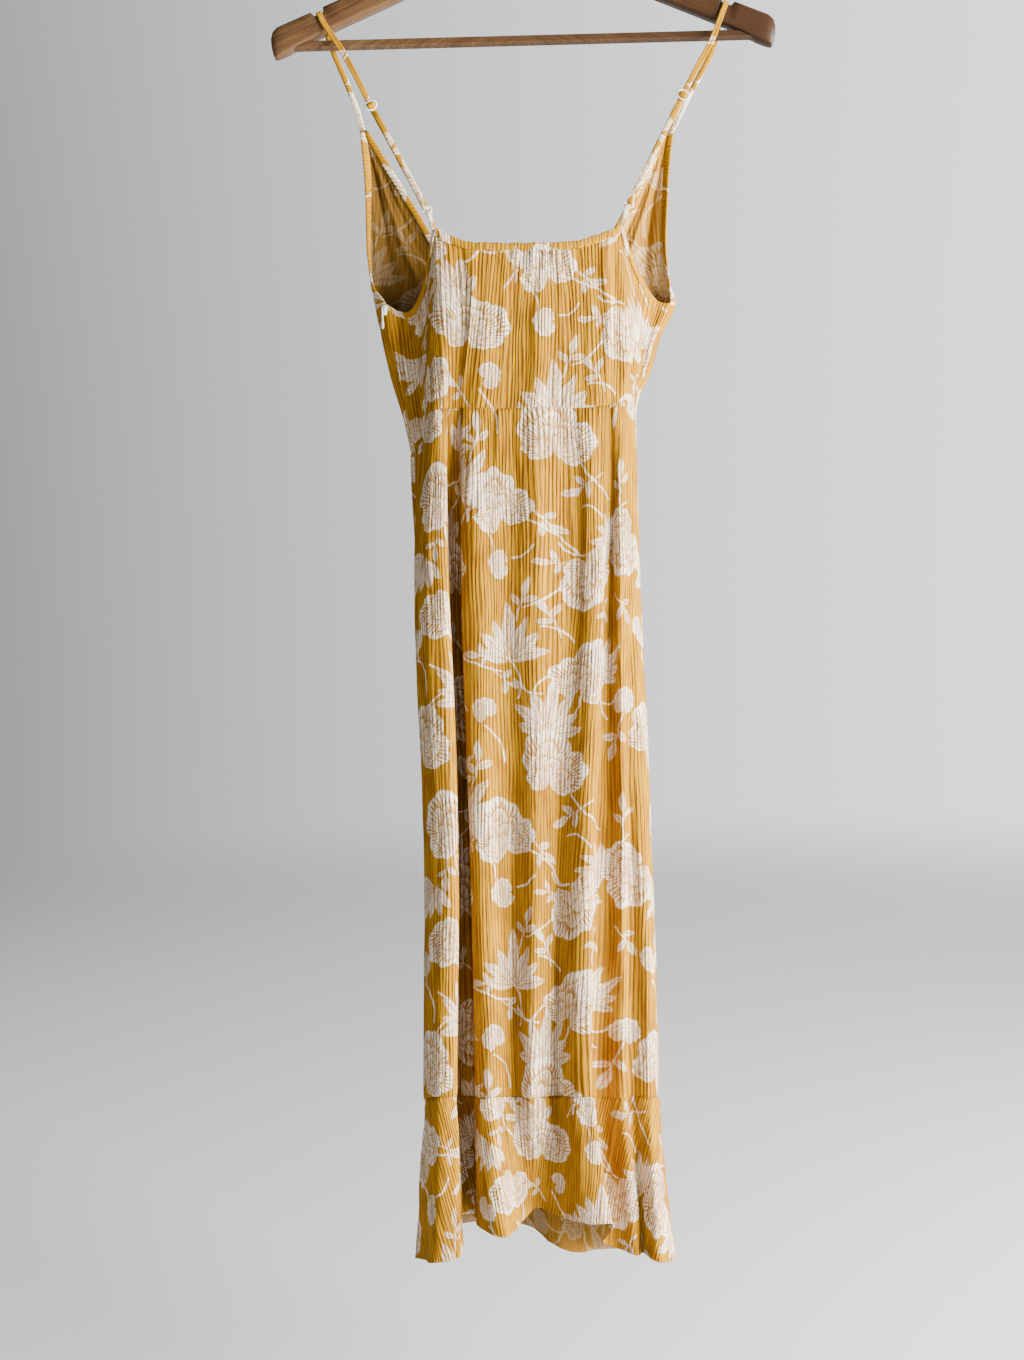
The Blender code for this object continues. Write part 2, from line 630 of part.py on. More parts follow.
def back_bodice_sections(knots, places, heights):
    """Back bodice sections: fractions 0 at the waist seam to 1 at the top edge."""
    waist = fold_points(SKIRT_FOLDS, (0.0,))[0]
    top = table(BACK_BODICE, BODICE_COLUMNS, "x_top", "y_top", "z_top")
    middle = table(BACK_BODICE, BODICE_COLUMNS, "x_middle", "y_middle")
    middle = np.column_stack([middle, (top[:, 2] + waist[:BACK_FOLDS, 2]) / 2])
    levels = np.stack([waist[:BACK_FOLDS], middle, top])
    right = np.stack([waist[BACK_FOLDS]] * 3)
    left = np.stack([waist[-1]] * 3)
    right[1:, :2] = table(FRONT_RIGHT, FRONT_COLUMNS, "turn_x", "turn_y")[[2, 4]]
    left[1:, :2] = table(FRONT_LEFT, FRONT_COLUMNS, "turn_x", "turn_y")[[2, 4]]
    right[1:, 2] = levels[1:, -1, 2]
    left[1:, 2] = levels[1:, 0, 2]
    padded = np.concatenate([left[:, None], levels, right[:, None]], axis=1)
    ends = np.concatenate([[knots[-2] - knots[-1]], knots[: BACK_FOLDS + 1]])
    flat = np.moveaxis(through(ends, np.moveaxis(padded, 1, 0), places), 0, 1)
    return through((0.0, 0.5, 1.0), flat, heights)


def back_bodice_grid(knots, places, heights):
    """Back bodice sections whose two ends follow the side seams of the front pieces."""
    last = knots[BACK_FOLDS - 1]
    grid = back_bodice_sections(knots, places, heights)
    for rows, seam, reach in ((FRONT_LEFT, 0.0, knots[2]), (FRONT_RIGHT, last, last - knots[BACK_FOLDS - 3])):
        seam_line = table(rows, FRONT_COLUMNS, "outer_x", "outer_y", "outer_z")
        line = through(np.arange(len(rows)), seam_line, np.asarray(heights) * UNDERARM_ROW)
        own = back_bodice_sections(knots, np.array([seam]), heights)[:, 0]
        fade = np.clip(1 - np.abs(np.asarray(places) - seam) / reach, 0, 1) ** 2
        grid = grid + (line - own)[:, None] * fade[None, :, None]
    return grid


def drop_for_width(edge, width):
    """How far below a sloping edge a level cut lies when the strip under it is so wide."""
    slope = np.gradient(edge[:, 2]) / np.maximum(np.linalg.norm(np.gradient(edge[:, :2], axis=0), axis=1), 0.1)
    return width * np.minimum(np.sqrt(1 + slope ** 2), STEEPEST_CUT)


def make_back_bodice(knots):
    """The back bodice with its casing and the two back armhole bindings."""
    places = places_between(knots, 0, BACK_FOLDS - 1, BACK_STEPS)
    grid = back_bodice_grid(knots, places, BODICE_HEIGHTS)
    top = grid[-1]
    width = np.full(len(top), BINDING_WIDTH)
    left_corner, right_corner = LEFT_CORNER * BACK_STEPS, RIGHT_CORNER * BACK_STEPS
    width[left_corner:right_corner + 1] = CASING_WIDTH
    depth = drop_for_width(top, width)
    share = 1 - depth / (top[:, 2] - grid[0, :, 2])
    share[[0, -1]] = BODICE_HEIGHTS[-2]
    grid[-2] = np.stack([
        back_bodice_grid(knots, places[i:i + 1], share[i:i + 1])[0, 0] for i in range(len(places))
    ])
    strip = grid[-2]
    normals = level_normals(grid, front_outer_neighbour("left"), front_outer_neighbour("right"))
    panel("back_bodice", pull_in(grid, rows=(True, False)), normals)
    out = edge_frame(top, normals[-1])
    cut = {
        "armhole_binding_back_left": (0, left_corner),
        "back_neck_casing": (left_corner, right_corner),
        "armhole_binding_back_right": (right_corner, len(places) - 1),
    }
    for name, (first, last) in cut.items():
        part = slice(first, last + 1)
        edge = pull_in(np.stack([top[part], strip[part]]), rows=(False, False))
        for end, inner in ((0, 1), (-1, -2)):
            if part.start == 0 and end == 0 or part.stop == len(places) and end == -1:
                edge[:, end] += unit(edge[:, inner] - edge[:, end]) * UNDERARM_CLEARANCE
        binding(name, edge[0], edge[1], normals[-1, part], normals[-2, part], out[part], (2,))


def front_grid(side, at, shares):
    """Front bodice sections at row places and shares of the way from outer to inner edge."""
    rows = FRONTS[side]
    marks = through(np.arange(len(rows)), table(rows, FRONT_COLUMNS, *FRONT_COLUMNS), at)
    outer, turn, belly, inner = np.split(marks, (3, 5, 7), axis=1)
    limit = np.maximum if side == "right" else np.minimum
    centre_front = rows["waist"][FRONT_COLUMNS.index("inner_x")]
    inner[:, 0] = limit(inner[:, 0], centre_front)
    flat = np.stack([outer[:, :2], turn, belly, inner[:, :2]])
    knots = np.asarray(FRONT_KNOTS)
    out = np.empty(shares.shape + (3,))
    for i in range(len(at)):
        out[i, :, :2] = through(knots, flat[:, i], shares[i])
        out[i, :, 2] = outer[i, 2] + (inner[i, 2] - outer[i, 2]) * shares[i]
    return out


def front_outer_neighbour(side):
    """Points just inside a front piece's side seam, level with the back bodice's rows."""
    at = BODICE_HEIGHTS * UNDERARM_ROW
    return front_grid(side, at, np.full((len(at), 1), NEIGHBOUR_SHARE))[:, 0]


def front_shares(side, at):
    """Columns of a front piece, with one a binding's width inside each of its edges."""
    ends = front_grid(side, at, np.tile([0.0, 1.0], (len(at), 1)))
    width = np.linalg.norm(ends[:, 1] - ends[:, 0], axis=1)
    edge = np.minimum(BINDING_WIDTH / width, 0.3)[:, None]
    middle = edge + (1 - 2 * edge) * np.array(FRONT_SHARES)
    return np.concatenate([edge * 0, edge, middle, 1 - edge, edge * 0 + 1], axis=1)


def waist_match(grid, shares, knots, first, last):
    """How far a front piece's waist row lies from the skirt's own top edge."""
    waist = fold_points(SKIRT_FOLDS, (0.0,))
    line = spread_round(waist, knots, np.linspace(first, last, 200))[0]
    run = np.concatenate([[0.0], np.cumsum(np.linalg.norm(np.diff(line, axis=0), axis=1))])
    target = np.stack([np.interp(shares[0] * run[-1], run, line[:, k]) for k in range(3)], axis=-1)
    return target - grid[0]


def make_front_bodice(side, knots):
    """One front bodice piece, with a binding along its armhole and one along its neckline."""
    at = np.concatenate([BODICE_HEIGHTS * UNDERARM_ROW, ROWS_ABOVE_UNDERARM])
    shares = front_shares(side, at)
    grid = front_grid(side, at, shares)
    before, after = (knots[FOLD_NAMES.index(name)] for name in ("front_3", "front_4"))
    centre = before + (after - before) * CENTRE_FRONT_SHARE
    seam = knots[-1] if side == "left" else knots[BACK_FOLDS - 1]
    fade = np.clip(1 - at / WAIST_FADE_ROWS, 0, 1)[:, None, None] ** 2
    grid = grid + waist_match(grid, shares, knots, seam, centre) * fade
    places = places_between(knots, 0, BACK_FOLDS - 1, BACK_STEPS)
    column = 0 if side == "left" else len(places) - 1
    step = 1 if side == "left" else -1
    back = back_bodice_grid(knots, places, BODICE_HEIGHTS)[:, column + step]
    underarm = len(BODICE_HEIGHTS)
    above = grid[underarm:, 0] * 2 - grid[underarm:, 1]
    normals = level_normals(grid, np.concatenate([back, above])) * (1 if side == "right" else -1)
    trimmed = pull_in(grid, rows=(True, False))
    trimmed[:, -1] = pull_in(grid)[:, -1]
    panel(f"front_bodice_{side}", trimmed, normals)
    armhole = slice(underarm, len(at) - 2)
    neck = slice(NECK_BINDING_ROW, len(at) - 2)
    for name, part, edge, inside, crossed in (
        (f"armhole_binding_front_{side}", armhole, 0, 1, (0,)),
        (f"neck_binding_{side}", neck, -1, -2, (2,)),
    ):
        line = trimmed[part, edge]
        out = unit(line - trimmed[part, inside])
        ways = normals[part, edge], normals[part, inside]
        binding(name, line, trimmed[part, inside], ways[0], ways[1], out, crossed)


def arm_line(reach):
    """The middle line of the hanger's arms and half its height, at distances from the middle."""
    stations, levels, halves = table(ARM_STATIONS, ARM_COLUMNS, "x", "z", "half_height").T
    away = np.abs(reach)
    inside = np.minimum(away, stations[-1])
    level = through(stations, levels, inside) - (away - inside) * ARM_TIP_SLOPE
    half_height = through(stations, halves, inside)
    return np.stack([reach, np.zeros(len(reach)), level], axis=1), half_height


def over_notch(sign):
    """The strap's way over one arm, square to the arm's own slope."""
    line = arm_line(np.array([STRAP_REACH - 1.0, STRAP_REACH, STRAP_REACH + 1.0]) * sign)[0]
    along = unit((line[2] - line[0]) * sign)
    up = np.array([-along[2], 0.0, along[0]])
    depth, height = np.array(STRAP_OVER).T[..., None]
    return line[1] + up * height + np.array([0.0, 1.0, 0.0]) * depth


def make_strap(side):
    """A shoulder strap with its slider, its ring and the tab that holds the ring."""
    sign = -1 if side == "left" else 1
    marks = {name: np.array(place) for name, place in STRAPS[side].items()}
    slider, ring = marks["slider"], marks["ring"]
    tilt = math.radians(SHOULDER_SLOPE)
    level = np.array([math.cos(tilt), 0.0, -sign * math.sin(tilt)])
    down = unit(ring - slider)
    facing = unit(np.cross(down, level))
    facing = facing * -np.sign(facing[1])
    wide = unit(np.cross(down, facing))
    up_run = [marks[name] for name in ("sewn_end", "rise", "half_way", "below_arm")]
    down_run = [marks[name] for name in ("behind_arm", "above_slider")]
    weave = [marks[start] + down * drop + facing * out for start, drop, out in STRAP_WEAVE]
    path = smooth_route(np.array(up_run + list(over_notch(sign)) + down_run + weave), ROUTE_STEPS)
    across = np.tile(level, (len(path), 1))
    tube(f"strap_{side}", path, STRAP_WIDTH / 2, STRAP_THICKNESS / 2, "printed_crepe", across, ends=0.9)
    angle = np.linspace(0, 2 * np.pi, LOOP_POINTS, endpoint=False)[:, None]
    frame = slider + SLIDER_HALF_WIDTH * np.cos(angle) * wide + SLIDER_HALF_HEIGHT * np.sin(angle) * down
    make_slider(f"slider_{side}", frame, slider, wide)
    hoop = ring + RING_RADIUS * (np.cos(angle) * wide + np.sin(angle) * down)
    loop(f"ring_{side}", hoop, RING_WIRE_RADIUS, "white_enamel")
    turn = [ring + down * drop + facing * out for drop, out in TAB_LOOP]
    front, back = (marks["corner"] + (0.0, away, 0.0) for away in (-TAB_SPREAD, TAB_SPREAD))
    route = [front, (front + turn[0]) / 2] + turn + [(back + turn[-1]) / 2, back]
    path = smooth_route(np.array(route), ROUTE_STEPS)
    across = np.tile(wide, (len(path), 1))
    tube(f"ring_tab_{side}", path, TAB_HALF_WIDTH, TAB_HALF_THICKNESS, "printed_crepe", across, ends=0.9)


def make_slider(name, frame, centre, wide):
    """An oval wire frame with a bar across its middle, joined into one body."""
    made = loop(name, frame, RING_WIRE_RADIUS, "white_enamel")
    bar_path = centre + wide * SLIDER_HALF_WIDTH * np.linspace(-1, 1, 5)[:, None]
    across = np.tile(np.cross(wide, (0.0, 1.0, 0.0)), (len(bar_path), 1))
    bar = tube(f"{name}_bar", bar_path, SLIDER_BAR_RADIUS, SLIDER_BAR_RADIUS, "white_enamel", across)
    bar.hide_render = True
    bar.display_type = "WIRE"
    join = made.modifiers.new("bar", "BOOLEAN")
    join.operation = "UNION"
    join.solver = "EXACT"
    join.object = bar


def make_hanger():
    """The wooden arm, the trouser bar under it and the wire hook on top."""
    half = np.array(ARM_PLACES)
    reach = np.concatenate([-half[:0:-1], half])
    centre, height = arm_line(reach)
    past = np.maximum(1 - (HANGER_REACH - np.abs(reach)) / HANGER_END_ROUND, 0.0)
    rounding = np.sqrt(np.maximum(1 - past ** 2, HANGER_END_FLAT))
    along = unit(np.gradient(centre, axis=0))
    up = np.stack([-along[:, 2], np.zeros(len(reach)), along[:, 0]], axis=1)
    near = 1 - np.abs(np.abs(reach) - NOTCH_PLACE) / NOTCH_HALF_WIDTH
    notch = NOTCH_DEPTH * np.clip(NOTCH_SIDE_SLOPE * near, 0.0, 1.0)
    deep, rise = np.array(ARM_SECTION).T
    bottom = -height[:, None]
    top = bottom + 2 * (height * rounding)[:, None]
    rise = (top + bottom) / 2 + rise * (top - bottom) / 2 - (rise > 0) * notch[:, None]
    deep = deep * (HANGER_DEPTH / 2) * np.sqrt(rounding)[:, None]
    rings = centre[:, None] + rise[..., None] * up[:, None] + deep[..., None] * np.array([0.0, 1.0, 0.0])
    capped("hanger_arm", rings, rings[0].mean(axis=0), rings[-1].mean(axis=0), "oak")
    make_bar()
    make_hook(centre[len(half) - 1, 2] + height[len(half) - 1])


def make_bar():
    """The flat trouser bar, whose slanting ends lie along the arm's lower edge."""
    deep, rise = np.array(BAR_SECTION).T
    rise = rise * BAR_HALF_HEIGHT
    slant = np.array([1.0, 0.0, 0.0, 0.0, 1.0])[:, None] * BAR_END_SLANT * rise
    x = np.array([-1.0, -0.5, 0.0, 0.5, 1.0])[:, None] * (BAR_REACH - slant)
    level = np.ones(x.shape)
    rings = np.stack([x, level * deep * BAR_HALF_DEPTH, BAR_LEVEL + level * rise], axis=-1)
    capped("hanger_bar", rings, rings[0].mean(axis=0), rings[-1].mean(axis=0), "oak")


def make_hook(wood_top):
    """The hook: a stem out of the wood, then most of a turn of wire with an open side."""
    radius = HOOK_INNER_RADIUS + HOOK_WIRE_RADIUS
    middle = -HOOK_INNER_RADIUS
    angle = np.radians(np.linspace(*HOOK_ANGLES, HOOK_RINGS))
    turn = np.stack([radius * np.cos(angle), 0 * angle, middle + radius * np.sin(angle)], axis=1)
    stem = np.array([
        (0.0, 0.0, wood_top + GAP),
        (0.0, 0.0, wood_top + 4.0),
        (0.6, 0.0, middle - radius - 4.5),
        (4.2, 0.0, middle - radius + 0.2),
    ])
    path = np.concatenate([stem, turn])
    tube("hanger_hook", path, HOOK_WIRE_RADIUS, HOOK_WIRE_RADIUS, "steel", sides=8, ends=1.0)


def make_zip(knots):
    """The invisible zip in the left side seam: its tape inside, its slider and its pull."""
    at = np.array(ZIP_ROWS)
    seam = front_grid("left", at, np.zeros((len(at), 1)))[:, 0]
    ahead = front_grid("left", at, np.full((len(at), 1), NEIGHBOUR_SHARE))[:, 0]
    places = places_between(knots, 0, BACK_FOLDS - 1, BACK_STEPS)
    behind = back_bodice_grid(knots, places[1:2], at / UNDERARM_ROW)[:, 0]
    skirt = fold_points(SKIRT_FOLDS, ZIP_STATIONS)
    near = spread_round(skirt, knots, np.array([-0.6, 0.0, 0.6]))
    seam = np.concatenate([seam, near[:, 1]])
    ahead = np.concatenate([ahead, near[:, 0]])
    behind = np.concatenate([behind, near[:, 2]])
    along = unit((ahead - behind) * (1.0, 1.0, 0.0))
    inward = np.stack([along[:, 1], -along[:, 0], np.zeros(len(seam))], axis=1)
    inward = inward * np.sign(inward[:, :1])
    seat = (seam + inward * ZIP_TAPE_DEPTH)[1:]
    sizes = ZIP_TAPE_HALF_WIDTH, ZIP_TAPE_HALF_THICKNESS
    tube("zip_tape", seat, *sizes, "zip_tape", along[1:], ends=0.9)
    top = seam[0]
    out = -inward[0]
    flat = along[0]
    place = top + out * ZIP_SLIDER_OUT + np.array([0.0, 0.0, -ZIP_SLIDER_DROP])
    body = [place + np.array([0.0, 0.0, rise]) for rise in ZIP_SLIDER_LEVELS]
    across = np.tile(flat, (len(body), 1))
    sizes = ZIP_SLIDER_HALF_WIDTH, ZIP_SLIDER_HALF_DEPTH
    tube("zip_slider", body, *sizes, "white_enamel", across, sides=10, ends=0.6)
    make_pull(place + out * PULL_OUT + np.array([0.0, 0.0, -PULL_DROP]), flat, out)


def make_pull(hinge, flat, out):
    """A thin drop-shaped tab that hangs from the slider and swings out from it."""
    angle = np.linspace(0, 2 * np.pi, 8, endpoint=False)[:, None]
    rings = []
    for level, half_width, half_depth in PULL_SECTIONS:
        ring = np.cos(angle) * half_width * flat + np.sin(angle) * half_depth * out
        rings.append(ring + np.array([0.0, 0.0, level]))
    pull = capped("zip_pull", np.array(rings), rings[0].mean(axis=0), rings[-1].mean(axis=0), "white_enamel")
    pull.location = tuple(hinge * MM)


def main():
    clear_scene()
    knots = ring_knots()
    make_hanger()
    make_skirt(knots)
    make_flounce(knots)
    make_back_bodice(knots)
    make_front_bodice("left", knots)
    make_front_bodice("right", knots)
    make_strap("left")
    make_strap("right")
    make_zip(knots)


main()
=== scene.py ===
# %% [markdown]
# # A yellow crinkle sundress on a wooden hanger
#
# The dress hangs back outwards, so its plain back and the side that the zip is on are
# what shows. It could be draped with a cloth simulation, but the folds would then fall
# where they please. Here every panel is a surface of two numbers instead: a place round
# the dress and a place down it. Smooth curves run through a table of folds, so each fold
# stays where the maker's table puts it.
#
# The first cell loads the solid model that the visible pieces are fitted to.

import math

import bmesh
import bpy
import mathutils
import numpy as np
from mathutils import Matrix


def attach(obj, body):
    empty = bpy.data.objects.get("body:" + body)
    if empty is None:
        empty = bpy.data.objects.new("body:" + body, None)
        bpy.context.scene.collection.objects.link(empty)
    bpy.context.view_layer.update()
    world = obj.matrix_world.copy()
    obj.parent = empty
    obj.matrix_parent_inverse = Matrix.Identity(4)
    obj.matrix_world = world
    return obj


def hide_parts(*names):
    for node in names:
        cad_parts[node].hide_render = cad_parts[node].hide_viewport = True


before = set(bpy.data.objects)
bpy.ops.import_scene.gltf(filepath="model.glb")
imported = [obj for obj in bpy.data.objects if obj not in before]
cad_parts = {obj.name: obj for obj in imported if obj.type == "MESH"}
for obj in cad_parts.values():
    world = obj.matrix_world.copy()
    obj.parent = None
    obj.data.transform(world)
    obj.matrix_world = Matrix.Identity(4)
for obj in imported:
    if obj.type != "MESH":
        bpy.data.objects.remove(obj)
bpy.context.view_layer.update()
MM = 0.001

# %% [markdown]
# ## The sizes
#
# All the tables are in millimetres. X runs to the viewer's right, Z up, and the viewer
# looks along +Y. A row of the skirt's table is one fold: where it leaves the waist, where
# it hangs at the hip and the knee, and where it meets the flounce.

# %% Folds of the skirt and hem
# Folds of the skirt, round the dress from the left side seam along the back, then
# along the front. x and y are given where the fold leaves the waist seam, at the hip,
# at the knee and at the flounce seam; z is given for the two seams.
SKIRT_STATIONS = (0.0, 0.18, 0.64, 1.0)
SKIRT_COLUMNS = (
    "x_waist", "x_hip", "x_knee", "x_seam", "y_waist", "y_hip", "y_knee", "y_seam", "z_waist", "z_seam",
)
SKIRT_FOLDS = {
    "left_seam": (-106, -106, -105, -109, 8, 8, 6, 6, -524, -1100),
    "left_wing": (-102, -108, -107, -112, 6, 2, 0, 0, -519, -1099),
    "left_tuck": (-95, -106, -106, -111, 2, -8, -9, -9, -510, -1096),
    "left_edge": (-93, -101, -101, -106, -18, -19, -20, -21, -498, -1091),
    "left_ridge": (-86, -91, -91, -96, -28, -29, -31, -32, -495, -1087),
    "left_lip": (-77, -79, -77, -83, -29, -30, -30, -30, -494, -1088),
    "gulley_left": (-73, -77, -76, -81, -25, -5, 5, 7, -494, -1099),
    "gulley_right": (-65, -69, -67, -70, -25, -3, 7, 9, -494, -1100),
    "back_lip": (-60, -64, -65, -65, -28, -25, -22, -18, -494, -1093),
    "ridge_1": (-48, -50, -57, -54, -31, -31, -30, -28, -495, -1090),
    "valley_1": (-26, -26, -28, -31, -30, -27, -20, -15, -496, -1094),
    "ridge_2": (1, -2, -8, -17, -33, -32, -31, -27, -496, -1092),
    "valley_2": (30, 31, 11, 6, -31, -26, -19, -9, -497, -1096),
    "ridge_3": (50, 50, 30, 21, -32, -31, -31, -33, -497, -1090),
    "right_lip": (59, 57, 39, 35, -31, -29, -31, -34, -496, -1090),
    "under_lip": (65, 62, 47, 32, -29, -24, -16, -12, -495, -1097),
    "right_valley": (70, 66, 58, 45, -29, -22, -14, -3, -494, -1100),
    "right_ridge": (75, 71, 67, 61, -28, -27, -22, -14, -492, -1098),
    "right_dip": (81, 77, 74, 72, -25, -22, -15, -8, -490, -1098),
    "right_side": (87, 85, 87, 85, -16, -15, -15, -14, -491, -1098),
    "right_tuck": (90, 90, 94, 93, -6, -4, -4, -4, -502, -1101),
    "right_seam": (90, 91, 95, 95, 5, 6, 7, 8, -521, -1104),
    "right_turn": (91, 89, 93, 94, 12, 13, 15, 17, -525, -1107),
    "front_side_right": (84, 82, 83, 84, 17, 19, 22, 24, -525, -1109),
    "front_1": (60, 62, 64, 65, 21, 26, 31, 34, -525, -1111),
    "front_2": (35, 36, 36, 37, 18, 21, 23, 25, -525, -1110),
    "front_3": (10, 12, 16, 18, 21, 26, 31, 33, -525, -1110),
    "front_4": (-14, -12, -8, -4, 19, 22, 26, 28, -525, -1111),
    "front_5": (-36, -35, -30, -27, 21, 26, 30, 32, -525, -1110),
    "front_6": (-60, -60, -57, -55, 19, 25, 33, 36, -525, -1110),
    "front_7": (-86, -86, -85, -86, 20, 24, 28, 30, -525, -1109),
    "front_side_left": (-104, -105, -105, -106, 18, 19, 20, 21, -525, -1107),
    "left_turn": (-110, -108, -107, -111, 13, 13, 12, 12, -525, -1104),
}
FOLD_NAMES = list(SKIRT_FOLDS)
BACK_FOLDS = FOLD_NAMES.index("right_seam") + 1

# The free hem of the flounce, a row for each fold above.
HEM_COLUMNS = ("x", "y", "z")
HEM = {
    "left_seam": (-121, 12, -1243),
    "left_wing": (-124, 5, -1241),
    "left_tuck": (-122, -3, -1238),
    "left_edge": (-114, -15, -1234),
    "left_ridge": (-106, -36, -1228),
    "left_lip": (-82, -35, -1223),
    "gulley_left": (-84, 6, -1206),
    "gulley_right": (-71, 10, -1205),
    "back_lip": (-66, -27, -1201),
    "ridge_1": (-45, -46, -1203),
    "valley_1": (-26, -14, -1200),
    "ridge_2": (-15, -1, -1197),
    "valley_2": (3, -9, -1200),
    "ridge_3": (27, -30, -1200),
    "right_lip": (50, -31, -1201),
    "under_lip": (43, -8, -1226),
    "right_valley": (53, 0, -1234),
    "right_ridge": (70, -8, -1238),
    "right_dip": (78, 4, -1241),
    "right_side": (87, -17, -1240),
    "right_tuck": (99, -12, -1243),
    "right_seam": (107, 4, -1246),
    "right_turn": (106, 14, -1250),
    "front_side_right": (98, 22, -1252),
    "front_1": (76, 38, -1254),
    "front_2": (42, 23, -1246),
    "front_3": (17, 12, -1243),
    "front_4": (-5, 18, -1236),
    "front_5": (-20, 38, -1231),
    "front_6": (-50, 38, -1224),
    "front_7": (-88, 27, -1222),
    "front_side_left": (-112, 28, -1234),
    "left_turn": (-121, 20, -1242),
}

# %% Folds of the bodice
# The back bodice, a row for each fold it shares with the skirt: its top edge, which
# runs up from both underarms to the strap corners, and its section half way down.
BODICE_COLUMNS = ("x_top", "y_top", "z_top", "x_middle", "y_middle")
BACK_BODICE = {
    "left_seam": (-128, -3, -396, -119, 2),
    "left_wing": (-118, 1, -401, -111, 4),
    "left_tuck": (-106, 1, -401, -101, 2),
    "left_edge": (-93, -12, -381, -92, -12),
    "left_ridge": (-86, -23, -352, -87, -24),
    "left_lip": (-82, -28, -339, -79, -29),
    "gulley_left": (-72, -30, -345, -71, -30),
    "gulley_right": (-61, -31, -350, -61, -31),
    "back_lip": (-48, -32, -353.5, -52, -31),
    "ridge_1": (-34, -33, -354.5, -40, -33),
    "valley_1": (-14, -33, -355.5, -20, -32),
    "ridge_2": (8, -34, -356, 5, -34),
    "valley_2": (28, -33, -355.5, 30, -32),
    "ridge_3": (46, -32, -353.5, 48, -33),
    "right_lip": (57, -31, -350, 58, -32),
    "under_lip": (65, -30.5, -347, 65, -31),
    "right_valley": (73, -29.5, -343.5, 71, -30),
    "right_ridge": (79.5, -27, -340, 77, -29),
    "right_dip": (84, -22, -351, 83, -25),
    "right_side": (94, -11, -372, 90, -13),
    "right_tuck": (110, 1, -396, 97, -2),
    "right_seam": (124, 2, -401, 101, 3),
}
LEFT_CORNER = FOLD_NAMES.index("left_lip")
RIGHT_CORNER = FOLD_NAMES.index("right_ridge")

# Each front bodice piece in sections from the waist up to the point where the strap
# is sewn on. Outer is the side seam, then the armhole; inner is the centre front seam,
# then the neckline. Turn and belly are two places between them.
FRONT_COLUMNS = (
    "outer_x", "outer_y", "outer_z", "turn_x", "turn_y",
    "belly_x", "belly_y", "inner_x", "inner_y", "inner_z",
)
FRONT_LEFT = {
    "waist": (-106, 8, -524, -111, 14, -60, 20, -6, 19, -525),
    "rise": (-113, 5, -487, -117.5, 13, -61, 22, -6, 17, -490),
    "neck_point": (-119, 2, -456, -125, 12, -66, 22, -6.2, 16, -470),
    "below_arm": (-124, -1, -426, -131.5, 9, -81, 19, -31, 14, -427),
    "underarm": (-128, -3, -396, -137, 7, -96, 17, -50, 13, -394),
    "corner": (-139, 4, -377, -140.5, 8, -103, 16, -60, 12.5, -377),
    "chest": (-143, 6, -345, -141, 9, -113, 14.5, -79, 12, -345),
    "upper_chest": (-143.5, 7, -290, -141, 9, -128, 12, -110, 10, -290),
    "point": (-146.4, 8, -236, -145.3, 8.3, -144, 8.5, -141, 8, -237),
}
FRONT_RIGHT = {
    "waist": (90, 5, -521, 92, 12, 45, 20, -5.2, 19, -525),
    "rise": (91, 4, -487, 93.5, 12, 46, 22, -5.2, 17, -490),
    "neck_point": (102, 3, -458, 106.5, 11, 53, 22, -5, 16, -470),
    "below_arm": (110.5, 3, -430, 115, 9, 67, 19, 20, 14, -427),
    "underarm": (124, 2, -401, 129.5, 8, 84, 17, 39, 13, -394),
    "corner": (124, 5, -380, 124, 8.5, 88, 16, 49, 12.5, -377),
    "chest": (122, 6, -345, 120.5, 9, 95, 14.5, 68, 12, -345),
    "upper_chest": (125.5, 7, -292, 124, 9, 112, 12, 99, 10, -292),
    "point": (132, 8, -238, 131, 8.3, 129.5, 8.5, 126.5, 8, -239),
}
FRONT_KNOTS = (0.0, 0.08, 0.5, 1.0)
FRONTS = {"left": FRONT_LEFT, "right": FRONT_RIGHT}

# %% Straps and hanger
BINDING_WIDTH = 5.0
CASING_WIDTH = 6.0
STRAP_WIDTH = 5.0
STRAP_THICKNESS = 1.4
UNDERARM_ROW = 4.0

# Each shoulder strap, x, y and z: from the front bodice's point up to the hanger's arm,
# then, past the arm, down towards the slider; and the middles of its slider and ring
# and the corner of the back bodice that the ring hangs from.
STRAPS = {
    "left": {
        "sewn_end": (-144.0, 10.1, -243.0),
        "rise": (-149.6, 9.9, -218.6),
        "half_way": (-159.0, 9.4, -192.5),
        "below_arm": (-168.6, 9.0, -168.5),
        "behind_arm": (-161.5, -10.4, -170.5),
        "above_slider": (-145.0, -15.2, -204.0),
        "slider": (-134.5, -18.0, -226.5),
        "ring": (-87.6, -27.0, -322.5),
        "corner": (-82.2, -28.0, -336.9),
    },
    "right": {
        "sewn_end": (130.2, 9.95, -245.0),
        "rise": (142.0, 9.6, -221.5),
        "half_way": (156.0, 9.4, -196.5),
        "below_arm": (168.5, 9.0, -173.0),
        "behind_arm": (165.0, -10.4, -174.0),
        "above_slider": (148.0, -15.2, -204.0),
        "slider": (137.5, -18.0, -224.4),
        "ring": (87.0, -26.4, -321.0),
        "corner": (80.2, -27.0, -337.9),
    },
}

# The strap over the arm: depth from the arm's middle plane, height over its middle line.
STRAP_OVER = (
    (7.7, -4.0),
    (7.4, 3.9),
    (5.9, 6.7),
    (0.0, 7.0),
    (-5.9, 6.7),
    (-7.4, 3.9),
    (-7.7, -4.0),
)

